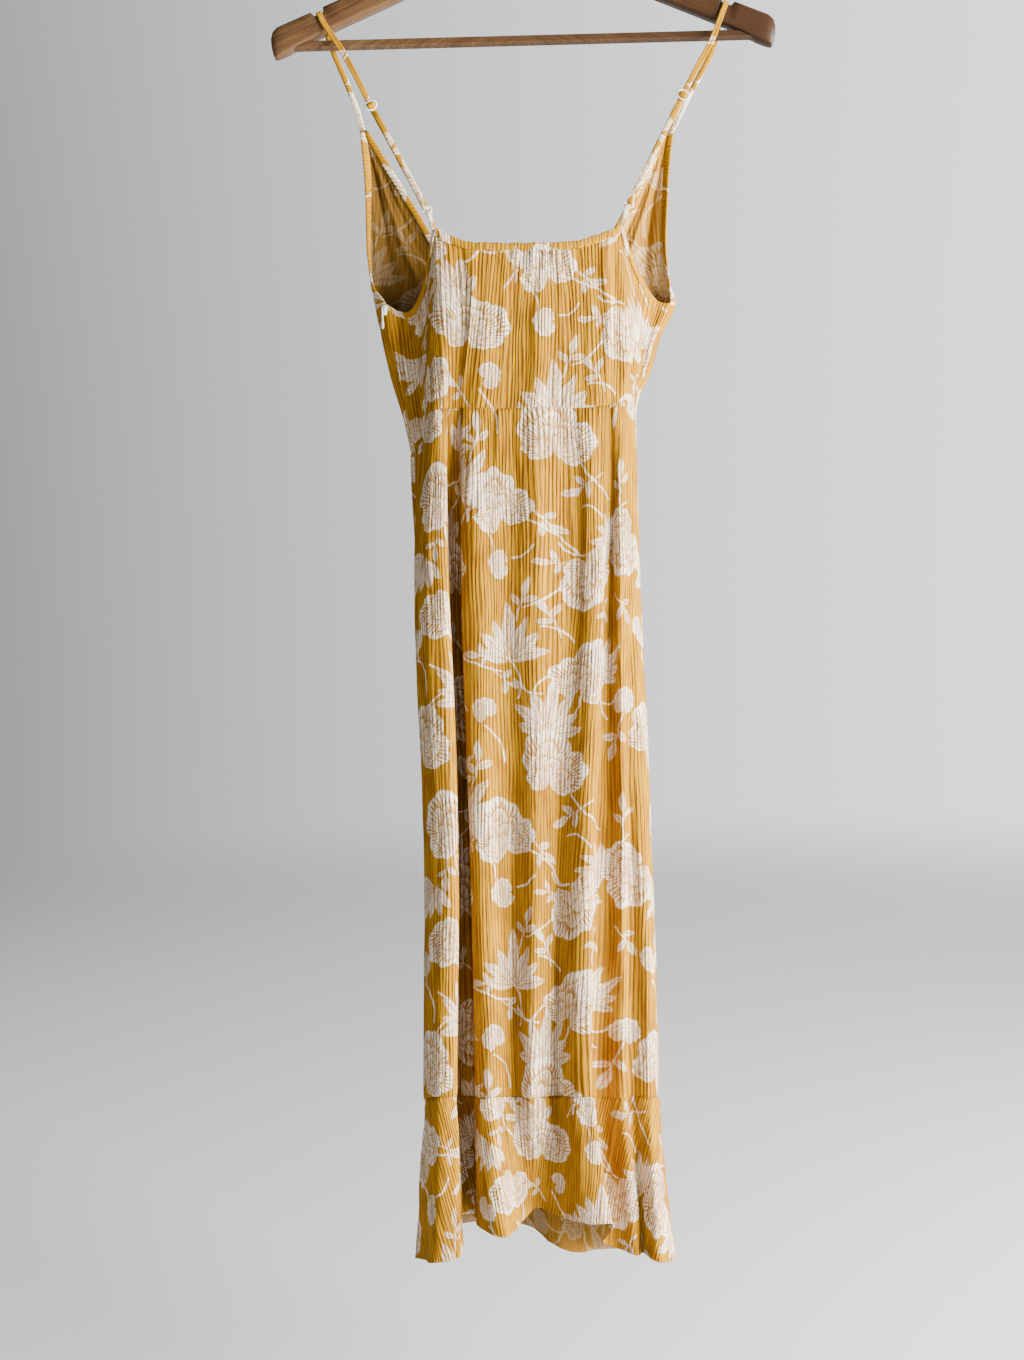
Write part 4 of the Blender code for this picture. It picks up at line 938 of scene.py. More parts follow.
# %% Cloth materials
def colour_mix(tree, factor, first, second):
    node = tree.nodes.new("ShaderNodeMix")
    node.data_type = "RGBA"
    for i, value in zip((0, 6, 7), (factor, first, second)):
        feed(tree, node.inputs[i], value)
    return Wire(node.outputs[2])


def use_group(tree, group, place):
    node = tree.nodes.new("ShaderNodeGroup")
    node.node_tree = group
    tree.links.new(place.socket, node.inputs[0])
    return node


# The most that the painted light may lighten the wrong side's colours.
MOST_PAINTED_LIGHT = 2.1
CRINKLE_RELIEF = 0.0012
CLOTH_ROUGHNESS = 0.85
CLOTH_SHEEN = 0.12


def cloth_material(name, ground, ground_valley_shade, print_light, print_valley_shade, bump, valley_shade, painted_light=0.0):
    """Crepe with the print: four colours, the strength of its crinkle, and the strength of the shade painted
    into its valleys.

    The glow is painted light and shade for daylight that comes through thin crepe: it makes the colours
    lighter towards the window, up to a limit, and darker away from there.
    """
    made = bpy.data.materials.new(name)
    made.use_nodes = True
    tree = made.node_tree
    shader = tree.nodes["Principled BSDF"]
    uv = tree.nodes.new("ShaderNodeUVMap")
    uv.uv_map = "cloth"
    crepe = use_group(tree, CRINKLE, Wire(uv.outputs[0]))
    white = Wire(use_group(tree, PRINT, Wire(crepe.outputs["Moved"])).outputs["White"])
    # Painted shade: the ground and the print are darker in the crinkle's valleys.
    shade = Wire(crepe.outputs["Valley"]) * valley_shade
    low = colour_mix(tree, shade, ground, ground_valley_shade)
    high = colour_mix(tree, shade, print_light, print_valley_shade)
    mixed = colour_mix(tree, white, low, high)
    if painted_light:
        # Painted light and shade: the colours grow lighter towards +X, where the big light is, and darker
        # towards -X.
        painted_side = split(Wire(tree.nodes.new("ShaderNodeTexCoord").outputs["Object"]))[0]
        mixed = vector_step("SCALE", mixed, (painted_side * painted_light).math("EXPONENT").least(MOST_PAINTED_LIGHT))
    tree.links.new(mixed.socket, shader.inputs["Base Color"])
    relief = tree.nodes.new("ShaderNodeBump")
    relief.inputs["Strength"].default_value = bump
    relief.inputs["Distance"].default_value = CRINKLE_RELIEF
    tree.links.new(crepe.outputs["Height"], relief.inputs["Height"])
    tree.links.new(relief.outputs[0], shader.inputs["Normal"])
    shader.inputs["Roughness"].default_value = CLOTH_ROUGHNESS
    shader.inputs["Specular IOR Level"].default_value = CLOTH_SHEEN
    return made


# The ground and its painted valley shade, then the print and its painted valley shade.
RIGHT_COLOURS = (
    (0.43, 0.207, 0.003, 1),
    (0.19, 0.066, 0.0008, 1),
    (0.87, 0.77, 0.63, 1),
    (0.36, 0.22, 0.09, 1),
)
WRONG_COLOURS = (
    (0.27, 0.133, 0.015, 1),
    (0.15, 0.064, 0.007, 1),
    (0.40, 0.28, 0.15, 1),
    (0.27, 0.16, 0.07, 1),
)
CLOTH = [
    cloth_material("printed_crepe", *RIGHT_COLOURS, bump=1.0, valley_shade=0.88),
    cloth_material("printed_crepe_wrong_side", *WRONG_COLOURS, bump=0.35, valley_shade=0.6, painted_light=6.5),
]
STRIP = [cloth_material("binding_cloth", *RIGHT_COLOURS, bump=0.5, valley_shade=0.45)]


# %% Plain materials
def plain_material(name, colour, roughness, metallic=0.0):
    made = bpy.data.materials.new(name)
    made.use_nodes = True
    shader = made.node_tree.nodes["Principled BSDF"]
    shader.inputs["Base Color"].default_value = colour
    shader.inputs["Roughness"].default_value = roughness
    shader.inputs["Metallic"].default_value = metallic
    return made


GRAIN_SLOPE = 0.45
GRAIN_DARK, GRAIN_LIGHT = (0.058, 0.027, 0.010, 1), (0.125, 0.067, 0.029, 1)
STREAK = (0.04, 0.018, 0.008, 1)
# The colour of the painted shade on the right arm.
SHADED_ARM = (0.030, 0.013, 0.005, 1)
WOOD_SHEEN = 0.18


def wood_material():
    """Varnished wood: noise stretched along the hanger makes the grain; the right arm is painted darker, as
    painted shade.
    """
    made = plain_material("varnished_wood", (0.3, 0.15, 0.07, 1), 0.42)
    tree = made.node_tree
    shader = tree.nodes["Principled BSDF"]
    place = Wire(tree.nodes.new("ShaderNodeTexCoord").outputs["Object"])
    x, _, z = split(place)
    slant = x.size() * GRAIN_SLOPE + z
    along = join(x, slant)
    broad = noise(vector_step("MULTIPLY", along, (10.0, 330.0, 0.0)), 1.0, 3.0, 0.6)
    fine = noise(vector_step("MULTIPLY", along, (30.0, 900.0, 0.0)), 1.0, 2.0, 0.6)
    grain = colour_mix(tree, (broad - 0.5).sharp(2.2), GRAIN_DARK, GRAIN_LIGHT)
    dark = (fine - 0.58).sharp(7) * 0.4
    streaked = colour_mix(tree, dark, grain, STREAK)
    # Painted shade: the wood darkens towards the right arm.
    painted_side = (x * 2.6).math("ADD", 0.45, clamp=True)
    painted_arm_shade = colour_mix(tree, painted_side * 0.92, streaked, SHADED_ARM)
    tree.links.new(painted_arm_shade.socket, shader.inputs["Base Color"])
    shader.inputs["Specular IOR Level"].default_value = WOOD_SHEEN
    return made


WOOD = wood_material()
STEEL = plain_material("hook_steel", (0.62, 0.62, 0.62, 1), 0.25, 1.0)
ENAMEL = plain_material("white_enamel", (0.86, 0.83, 0.77, 1), 0.3)
TAPE = plain_material("zip_tape_cloth", (0.74, 0.46, 0.12, 1), 0.8)
FLOOR = plain_material("floor_paint", (0.60, 0.60, 0.61, 1), 0.9)


def fade_out(material, near, far):
    """Thins a material out between two distances from the middle, so the floor has no edge."""
    tree = material.node_tree
    place = Wire(tree.nodes.new("ShaderNodeTexCoord").outputs["Object"])
    away = vector_step("LENGTH", place, out=1)
    seen = map_range(tree, away, (near, far), (1.0, 0.0), "SMOOTHSTEP")
    tree.links.new(seen.socket, tree.nodes["Principled BSDF"].inputs["Alpha"])


fade_out(FLOOR, 1.6, 6.0)

# %% [markdown]
# ## How the print falls on each panel
#
# The pieces are cut from one length of cloth, but not beside each other, so the print
# jumps at every seam. Each panel has its own shift across and down the repeat.

# %% Shifts of the print, and finished panels
PANEL_SHIFTS = {
    "back_skirt": (-140.0, -45.0),
    "front_skirt": (60.0, 120.0),
    "back_flounce": (-60.0, 40.0),
    "front_flounce": (150.0, 90.0),
    "back_bodice": (-124.0, 20.0),
    "front_bodice_left": (40.0, 30.0),
    "front_bodice_right": (180.0, 100.0),
}


def make_panel(node, grid, out, u, v, rests_on):
    """A panel of printed cloth in place of its solid, with its own shift of the print."""
    shift = PANEL_SHIFTS[node]
    piece = make_surface(f"{node}_cloth", grid, out, u + shift[0], v + shift[1], CLOTH)
    declare(piece, grid, rests_on, node)


print(len(PANEL_SHIFTS), "panels of printed cloth")

# %% [markdown]
# ## The skirt
#
# The skirt is one tube at rest, sewn from a back and a front panel. Both are cut from the
# same ring of folds, so they meet exactly at the side seams. At the waist the cloth is
# eased into the seam, which leaves short soft gathers below it.

# %% Skirt panels
SKIRT_LENGTH = 600.0
SIDE_DIP = 0.5


def skirt_line(station):
    """The level section of the skirt at one fraction of its length."""
    folds = fold_points(SKIRT_FOLDS, (station,))
    return lambda places: spread_round(folds, KNOTS, places)[0]


def seam_dip(distance, depth=0.7, width=1.3):
    """The narrow groove that a sewn seam pulls into the cloth."""
    return -depth * np.exp(-((distance / width) ** 2))


# Creases of each skirt panel: start and end as distance from the left edge and down the
# cloth, width, height. A negative height is a groove.
SKIRT_CREASES = {
    "back": (
        (96, 8, 104, 210, 3.5, 1.6), (150, 0, 146, 90, 3.0, 1.5), (161, 4, 160, 150, 3.5, -1.3),
        (176, 0, 172, 70, 2.6, 1.4), (190, 0, 196, 120, 3.2, -1.2), (206, 2, 214, 260, 3.8, 1.5),
        (226, 0, 219, 100, 3.0, 1.3), (246, 6, 243, 330, 4.0, 1.4), (262, 130, 268, 520, 4.0, 1.3),
        (281, 0, 290, 240, 3.2, -1.5), (302, 30, 309, 330, 3.5, 1.7), (18, 0, 26, 180, 3.2, 1.5),
        (48, 20, 42, 330, 3.6, 1.3), (52, 300, 40, 570, 4.2, -1.3), (158, 240, 166, 560, 4.5, 1.5),
        (186, 300, 180, 590, 4.0, -1.6), (222, 330, 230, 590, 4.4, 1.4), (312, 330, 322, 585, 4.0, 1.6),
    ),
    "front": (
        (20, 0, 26, 200, 3.2, 1.4), (48, 4, 42, 320, 3.8, -1.4), (75, 0, 82, 150, 3.0, 1.4),
        (104, 8, 98, 420, 4.2, 1.6), (131, 0, 136, 180, 3.2, -1.3), (160, 0, 152, 260, 3.6, 1.5),
        (188, 20, 194, 380, 4.0, 1.3), (60, 260, 70, 580, 4.2, 1.4), (142, 280, 134, 570, 4.4, -1.5),
        (205, 180, 200, 560, 3.8, 1.4),
    ),
}


def make_skirt_panel(side, first, last, seed):
    """A skirt panel: its folds' surface, moved out by crinkle, gathers and creases."""
    places, u = even_places(first, last, skirt_line(0.5))
    v = rows_for(SKIRT_LENGTH)
    grid = spread_round(fold_points(SKIRT_FOLDS, v / SKIRT_LENGTH), KNOTS, places)
    out = surface_normals(grid, away_from(grid))
    across, down = np.meshgrid(u, v)
    waist, hem = down, SKIRT_LENGTH - down
    sides = np.minimum(across, u[-1] - across)
    lift = crinkle(across, down, seed) + creases(across, down, SKIRT_CREASES[side])
    lift += ripples(across, down, seed, (
        (1.5, 9, 160, 2, fade_from(waist, 150)),
        (0.8, 5, 60, 5, fade_from(waist, 22)),
        (1.0, 16, 260, 3, 1 - fade_from(waist, 120)),
        (0.6, 8, 40, 4, fade_from(hem, 60)),
    ))
    lift *= free_of(np.minimum(waist, hem)) * free_of(sides)
    lift += seam_dip(waist) + seam_dip(hem) + seam_dip(sides, SIDE_DIP)
    make_panel(f"{side}_skirt", grid + out * lift[..., None], out, across, down, [])


make_skirt_panel("back", 0.0, BACK_END, 11)
make_skirt_panel("front", BACK_END, KNOTS[-1], 31)

# %% [markdown]
# ## The flounce
#
# The flounce is cut as part of a circle, so its hem is much longer than the seam it is
# sewn to, and the extra length falls into flutes. Its top edge is the skirt's last row.
# Towards the hem each point moves on to the hem's own table. A narrow hem is turned up
# and stitched, which makes the last few millimetres stand a little proud.

# %% Flounce panels
FLOUNCE_LENGTH = 135.0
FLOUNCE_STEP = 3.2
FLARE_POWER = 1.25
HEM_FOLD = 4.5
HEM_RISE = 0.3
FLUTED_PLACE = 0.7


def flounce_folds(shares):
    """From the skirt's edge to the hem: across as a power of the share, down evenly."""
    top = fold_points(SKIRT_FOLDS, (1.0,))[0]
    hem = table(HEM, HEM_COLUMNS, "x", "y", "z")
    shares = np.asarray(shares)[:, None, None]
    flare = shares**FLARE_POWER
    folds = top * (1 - flare) + hem * flare
    folds[..., 2] = (top * (1 - shares) + hem * shares)[..., 2]
    return folds


FLOUNCE_RADIUS = 430.0
FLOUNCE_CREASES = {
    "back": (
        (20, 0, 8, 90, 3.4, 1.6), (44, 4, 52, 134, 3.6, -1.5), (74, 0, 70, 80, 3.0, 1.4),
        (128, 6, 120, 134, 3.6, 1.5), (168, 0, 182, 120, 3.2, 1.6), (206, 0, 204, 100, 3.6, -1.4),
        (246, 8, 262, 134, 3.4, 1.7), (292, 0, 284, 110, 3.0, 1.3), (330, 0, 346, 130, 3.8, -1.5),
        (372, 6, 384, 134, 3.4, 1.6),
    ),
    "front": (
        (24, 0, 14, 110, 3.4, 1.5), (66, 4, 76, 134, 3.4, -1.4), (108, 0, 104, 90, 3.2, 1.5),
        (150, 6, 162, 134, 3.6, 1.5), (196, 0, 188, 120, 3.4, -1.4), (232, 4, 240, 130, 3.4, 1.5),
    ),
}


def make_flounce_panel(side, first, last, seed):
    """A flounce panel: folds from seam to hem, with gathers above and a turned-up hem below.

    The cloth is cut as part of a ring, so its threads lean more and more towards both
    side seams. Places on the cloth are those of the flat ring.
    """
    fluted = flounce_folds([FLUTED_PLACE])
    places, u = even_places(first, last, lambda p: spread_round(fluted, KNOTS, p)[0])
    v = rows_for(FLOUNCE_LENGTH, FLOUNCE_STEP)
    grid = spread_round(flounce_folds(v / FLOUNCE_LENGTH), KNOTS, places)
    out = surface_normals(grid, away_from(grid))
    across, down = np.meshgrid(u, v)
    hem = FLOUNCE_LENGTH - down
    sides = np.minimum(across, u[-1] - across)
    turn = (across - u[-1] / 2) / FLOUNCE_RADIUS
    cut_u = (FLOUNCE_RADIUS + down) * np.sin(turn)
    cut_v = (FLOUNCE_RADIUS + down) * np.cos(turn) - FLOUNCE_RADIUS
    lift = crinkle(cut_u, cut_v, seed, LOW_CRINKLE) + creases(across, down, FLOUNCE_CREASES[side])
    lift += ripples(across, down, seed, (
        (1.3, 7, 70, 2, fade_from(down, 60)),
        (1.2, 14, 120, 3, 1.0),
    ))
    lift *= free_of(down) * free_of(sides)
    lift += seam_dip(down) + seam_dip(sides, SIDE_DIP)
    lift += HEM_RISE * (hem < HEM_FOLD) + seam_dip(hem - HEM_FOLD, 0.5, 0.8)
    rests_on = [f"{side}_skirt_cloth"]
    make_panel(f"{side}_flounce", grid + out * lift[..., None], out, cut_u, cut_v, rests_on)


make_flounce_panel("back", 0.0, BACK_END, 51)
make_flounce_panel("front", BACK_END, KNOTS[-1], 71)

# %% [markdown]
# ## The bodice
#
# The back bodice is one piece that runs up to an elastic casing between the straps. The
# front is two pieces that meet low down and open into a deep V, each narrowing to the
# point where its strap is sewn on. Seen from behind, their wrong sides show through the
# armholes.

# %% Back bodice
# The panel's length down the middle and the distance between its rows, the height at
# which its columns are spaced, and where across the back the elastic lies.
BODICE_LENGTH = 145.0
BODICE_STEP = 3.4
LOW_RIBS = 0.3
ELASTIC_SPAN = (-42, 38)


def back_edge(places):
    """The top edge of the back bodice."""
    return back_bodice_grid(places, np.array([1.0]))[0]


def gathered(across_mm, low, high, soft=18.0):
    """1 between low and high across the back, 0 outside, softened at both ends."""
    return fade_from(low - across_mm, soft) * fade_from(across_mm - high, soft)


# Creases of the back bodice. The first four are the two edges where the back turns to
# the sides, each with the groove behind it.
BODICE_CREASES = (
    (92, -6, 88, 151, 2.6, 2.3), (84, 0, 80, 145, 4.0, -1.6),
    (214, -6, 213, 151, 2.6, 2.4), (222, 0, 222, 145, 4.0, -1.8),
    (60, 62, 40, 140, 3.4, 1.5), (34, 66, 16, 130, 3.2, -1.3), (70, 90, 66, 145, 3.0, 1.2),
    (236, 66, 228, 140, 3.0, 1.6), (250, 70, 244, 142, 3.0, -1.5), (262, 74, 262, 138, 3.0, 1.5),
    (118, 10, 122, 100, 3.8, 1.2), (146, 6, 143, 140, 4.0, -1.2), (172, 14, 176, 120, 3.8, 1.3),
    (194, 40, 190, 145, 3.6, -1.1),
)


def make_back_bodice(seed):
    """The back bodice: its sections, with the casing's elastic gathers along the top."""
    ribs = np.array([LOW_RIBS])
    places, u = even_places(0.0, BACK_END, lambda p: back_bodice_grid(p, ribs)[0])
    v = rows_for(BODICE_LENGTH, BODICE_STEP)
    grid = back_bodice_grid(places, 1 - v / BODICE_LENGTH)
    out = surface_normals(grid, away_from(grid))
    across, down = np.meshgrid(u, v)
    waist = BODICE_LENGTH - down
    sides = np.minimum(across, u[-1] - across)
    elastic = gathered(grid[..., 0], *ELASTIC_SPAN)
    lift = crinkle(across, down, seed)
    lift += creases(across, down, BODICE_CREASES) * np.clip(down / 10, 0.2, 1)
    lift += ripples(across, down, seed, (
        (1.3, 3.2, 45, 3, fade_from(down, 55) * elastic),
        (1.0, 15, 120, 4, 1.0),
        (0.9, 6, 60, 5, fade_from(waist, 30)),
    ))
    lift *= free_of(waist) * free_of(sides) * (1 - 0.6 * fade_from(down, 5))
    lift += seam_dip(waist) + seam_dip(sides, SIDE_DIP)
    make_panel("back_bodice", grid + out * lift[..., None], out, across, down, [])


make_back_bodice(91)

# %% Front bodice pieces
# The centre seam lies between two folds of the skirt's front, this share of the way.
CENTRE_SHARE = 0.67


def waist_match(grid, shares, first, last):
    """How far a front piece's waist row lies from the skirt's own top edge."""
    line = skirt_line(0.0)(np.linspace(first, last, 400))
    run = run_along(line)
    target = np.stack([np.interp(shares[0] * run[-1], run, line[:, k]) for k in range(3)], axis=-1)
    return target - grid[0]


def front_surface(side, at, shares):
    """A front piece's points, with its lowest rows led on to the skirt's top edge."""
    before, after = (KNOTS[FOLD_NAMES.index(name)] for name in ("front_3", "front_4"))
    centre = before * (1 - CENTRE_SHARE) + after * CENTRE_SHARE
    seam = KNOTS[-1] if side == "left" else BACK_END
    grid = front_grid(side, at, shares)
    base = front_grid(side, np.zeros(1), shares[:1])
    fade = np.clip(1 - at / 1.5, 0, 1)[:, None, None] ** 2
    return grid + waist_match(base, shares[:1], seam, centre) * fade


# Creases of a front piece, in sixtieths of its width and down from its point.
FRONT_SPAN = 60
FRONT_STEP = 3.0
FRONT_CREASES = (
    (24, 6, 17, 190, 3.2, 2.0), (33, 8, 34, 230, 3.4, -1.8), (41, 10, 47, 170, 3.0, 1.7),
    (12, 60, 6, 200, 2.6, -1.4), (50, 120, 56, 290, 3.4, 1.5), (22, 180, 30, 310, 4.0, 1.4),
)


def make_front_bodice(side, seed):
    """A front piece: sections from waist to point, with creases that fall from the point."""
    fine = np.linspace(0, len(FRONTS[side]) - 1, 400)
    middle = front_surface(side, fine, np.full((len(fine), 1), 0.5))[:, 0]
    rise = run_along(middle)
    up = rows_for(rise[-1], FRONT_STEP)
    at = np.interp(up, rise, fine)
    shares = np.tile(np.linspace(0, 1, 130), (len(at), 1))
    grid = front_surface(side, at, shares)
    out = surface_normals(grid, away_from(grid) * (1 if side == "right" else -1))
    width = np.linalg.norm(np.diff(grid, axis=1), axis=2).sum(axis=1)[:, None]
    across = shares * width
    up = up[:, None]
    down = np.broadcast_to(rise[-1] - up, across.shape)
    edges = np.minimum(across, width - across)
    lift = crinkle(across, down, seed, LOW_CRINKLE)
    lift += ripples(shares * FRONT_SPAN, down, seed, ((1.1, 7, 150, 3, np.clip(edges / 6, 0, 1)),))
    lift += ripples(across, down, seed, ((0.9, 9, 60, 4, fade_from(up, 60)),))
    lift += creases(shares * FRONT_SPAN, down, FRONT_CREASES) * np.clip(edges / 8, 0, 1)
    lift *= np.clip(width / 30, 0.15, 1) * free_of(up) * free_of(edges)
    lift += seam_dip(up)
    make_panel(f"front_bodice_{side}", grid + out * lift[..., None], out, across, down, [])


make_front_bodice("left", 111)
make_front_bodice("right", 131)

# %% [markdown]
# ## Bindings and casing
#
# Every raw edge of the bodice is finished with a narrow strip folded over it. The strip's
# profile is carried along the edge: down one face, round the edge, and down the other.
# Along the back neckline the same strip is wider and holds elastic, so it is ruched.

# %% Folded strips
STRIP_THICKNESS = 0.35
RUCHE = 0.3
END_GAP = 0.02
MOST_DROP = 2.6
STRIP_TOP_ROW = 7.97
MOST_INSET = 0.45
STRIP_PROFILE = np.array([
    # share of the way in, height off the cloth, reach past the edge
    (1.0, 0.55, 0.0),
    (0.92, 0.9, 0.0),
    (0.5, 1.0, 0.0),
    (0.12, 1.0, 0.1),
    (0.0, 0.75, 0.6),
    (0.0, 0.0, 0.95),
    (0.0, -0.75, 0.6),
    (0.12, -1.0, 0.1),
    (0.5, -1.0, 0.0),
    (0.92, -0.9, 0.0),
    (1.0, -0.55, 0.0),
])


def make_strip(name, edge, inside, outward, node, ruche=0.0, seed=0):
    """A folded strip: edge and inside lines joined by the profile, rippled along its length."""
    along = unit(np.gradient(edge, axis=0))
    inward = unit(inside - edge)
    normal = unit(np.cross(along, inward))
    normal = normal * np.sign((normal * outward).sum(axis=1, keepdims=True))
    share, height, reach = STRIP_PROFILE.T[..., None, None]
    run = run_along(edge)
    flat_profile = STRIP_PROFILE * (BINDING_WIDTH, 1.0, 1.0)
    profile_run = run_along(flat_profile)
    ripple = soft_noise(*np.meshgrid(run, profile_run * 2), 2.6, 30, seed)
    waver = 0.25 * soft_noise(run, run * 0, 14, 9, seed + 1)[:, None]
    waver = waver + 2.2 * ruche * soft_noise(run, run * 0, 3.6, 9, seed + 2)[:, None]
    grid = edge + (inside - edge) * share + normal * height - inward * (reach + waver)
    grid = grid + normal * (ripple * (0.12 + ruche))[..., None] * np.sign(height + 1e-6)
    outside = normal * height - inward * reach
    piece = make_surface(name, grid, outside, run, profile_run[:, None], STRIP, STRIP_THICKNESS, -1.0)
    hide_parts(node)


def picked_rows(grid, shares):
    """One point of each column of a grid, at its own share of the way down the rows."""
    place = np.clip(shares, 0, 1) * (len(grid) - 1)
    i = np.minimum(place.astype(int), len(grid) - 2)
    t = (place - i)[:, None]
    column = np.arange(grid.shape[1])
    return grid[i, column] * (1 - t) + grid[i + 1, column] * t


def drop_for_width(edge, width):
    """How far below a sloping edge a level cut lies when the strip under it is so wide."""
    level_step = np.linalg.norm(np.gradient(edge[:, :2], axis=0), axis=1)
    slope = np.gradient(edge[:, 2]) / np.maximum(level_step, 0.1)
    return width * np.minimum(np.sqrt(1 + slope**2), MOST_DROP)


def make_back_strip(name, first, last, width, node, ruche, seed):
    """A strip over part of the back bodice's top edge."""
    places, run = even_places(first, last, back_edge, 1.2)
    top = back_bodice_grid(places, np.linspace(1.0, 0.7, 31))
    height = top[0, :, 2] - back_bodice_grid(places, np.array([0.0]))[0, :, 2]
    inside = picked_rows(top, drop_for_width(top[0], width) / height / 0.3)
    outward = away_from(top)[0]
    return make_strip(name, top[0], inside, outward, node, ruche, seed)


CORNERS = KNOTS[LEFT_CORNER], KNOTS[RIGHT_CORNER]
for name, node, span, width, ruche, seed in (
    ("armhole_strip_back_left", "armhole_binding_back_left", (END_GAP, CORNERS[0]), BINDING_WIDTH, 0.0, 151),
    ("back_neck_strip", "back_neck_casing", CORNERS, CASING_WIDTH, RUCHE, 153),
    (
        "armhole_strip_back_right",
        "armhole_binding_back_right",
        (CORNERS[1], BACK_END - END_GAP),
        BINDING_WIDTH,
        0.0,
        155,
    ),
):
    make_back_strip(name, *span, width, node, ruche, seed)


def make_front_strips(side, seed):
    """The strips over a front piece's armhole and over its neckline."""
    for name, node, low, start, end in (
        (f"armhole_strip_front_{side}", f"armhole_binding_front_{side}", UNDERARM_ROW, 0.0, 1),
        (f"neck_strip_{side}", f"neck_binding_{side}", 2.0, 1.0, -1),
    ):
        fine = np.linspace(low, STRIP_TOP_ROW, 600)
        line = front_surface(side, fine, np.full((len(fine), 1), start))[:, 0]
        run = run_along(line)
        at = np.interp(np.arange(0, run[-1], 1.4), run, fine)
        ends = front_surface(side, at, np.tile([0.0, 1.0], (len(at), 1)))
        across = np.linalg.norm(ends[:, 1] - ends[:, 0], axis=1)
        inset = np.minimum(BINDING_WIDTH / across, MOST_INSET)
        shares = np.stack([np.full(len(at), start), start + end * inset, start + end * inset * 1.1], axis=1)
        grid = front_surface(side, at, shares)
        outward = away_from(grid)[:, 1] * (1 if side == "right" else -1) * end
        make_strip(name, grid[:, 0], grid[:, 1], outward, node, 0.0, seed)
        seed += 2


make_front_strips("left", 161)
make_front_strips("right", 171)

# %% [markdown]
# ## Shoulder straps
#
# Each strap is a narrow tube of the same cloth, turned and pressed flat. It rises from the
# front's point, crosses the hanger's arm in its notch, goes down through the slider,
# round the ring, and comes back up to be sewn round the slider's bar. A flat oval
# profile is carried along that route.

# %% Strap helpers
BAND_SIDES = 16
ROUND_END = 0.6
ROUTE_STEPS = 8
WELD_DISTANCE = 2e-6
SLIDER_SWELL = 4.0, 0.5
TAB_OVERLAP = 3.0


def smooth_route(points, steps):
    """More points along a smooth curve through a route's own points."""
    points = np.asarray(points, float)
    spans = np.sqrt(np.linalg.norm(np.diff(points, axis=0), axis=1))
    marks = np.concatenate([[0.0], np.cumsum(spans)])
    parts = [np.linspace(start, end, steps, endpoint=False) for start, end in zip(marks, marks[1:])]
    return through(marks, points, np.concatenate(parts + [marks[-1:]]))


def weld(mesh):
    """Joins the points that share a place, which closes a tube's seam and its ends."""
    shape = bmesh.new()
    shape.from_mesh(mesh)
    bmesh.ops.remove_doubles(shape, verts=shape.verts, dist=WELD_DISTANCE)
    shape.to_mesh(mesh)
    shape.free()
    mesh.shade_smooth()


def make_band(name, path, half_width, half_thickness, across, node, swells=()):
    """A flattened tube: an oval with squared shoulders, carried along a path and closed.

    Swells are places where the tube is folded over a bar and looks thicker.
    """
    along = unit(np.gradient(path, axis=0))
    across = unit(across - along * (across * along).sum(axis=1, keepdims=True))
    thin = np.cross(along, across)
    angle = np.linspace(0, 2 * np.pi, BAND_SIDES + 1)
    wide = np.sign(np.cos(angle)) * np.abs(np.cos(angle)) ** 0.8 * half_width
    deep = np.sign(np.sin(angle)) * np.abs(np.sin(angle)) ** 0.6 * half_thickness
    run = run_along(path)
    size = np.clip(np.minimum(run, run[-1] - run) / ROUND_END, 0, 1)[:, None, None] ** 0.5
    ripple = 0.08 * soft_noise(*np.meshgrid(np.cos(angle) * 3, run), 2.5, 7, len(name))[..., None] + 1
    for place, radius, more in swells:
        near = np.exp(-((np.linalg.norm(path - place, axis=1) / radius) ** 2))
        ripple = ripple + more * near[:, None, None]
    oval = wide[:, None] * across[:, None] + deep[:, None] * thin[:, None]
    grid = path[:, None] + size * ripple * oval
    outside = grid - path[:, None]
    round_it = angle * half_width * 0.75
    piece = make_surface(name, grid, outside, round_it[None, :], run[:, None], STRIP, 0)
    weld(piece.data)
    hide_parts(node)
    return float(run[-1])


def arm_line(reach):
    """The middle line of the hanger's arms and half its height, at distances from the middle."""
    stations, levels, halves = table(ARM_STATIONS, ARM_COLUMNS, "x", "z", "half_height").T
    away = np.abs(reach)
    inside = np.minimum(away, stations[-1])
    level = through(stations, levels, inside) - (away - inside) * ARM_TIP_SLOPE
    half_height = through(stations, halves, inside)
    return np.stack([reach, np.zeros(len(reach)), level], axis=1), half_height


def over_notch(sign):
    """The strap's way over one arm, square to the arm's own slope."""
    line = arm_line(np.array([STRAP_REACH - 1.0, STRAP_REACH, STRAP_REACH + 1.0]) * sign)[0]
    along = unit((line[2] - line[0]) * sign)
    up = np.array([-along[2], 0.0, along[0]])
    depth, height = np.array(STRAP_OVER).T[..., None]
    return line[1] + up * height + np.array([0.0, 1.0, 0.0]) * depth


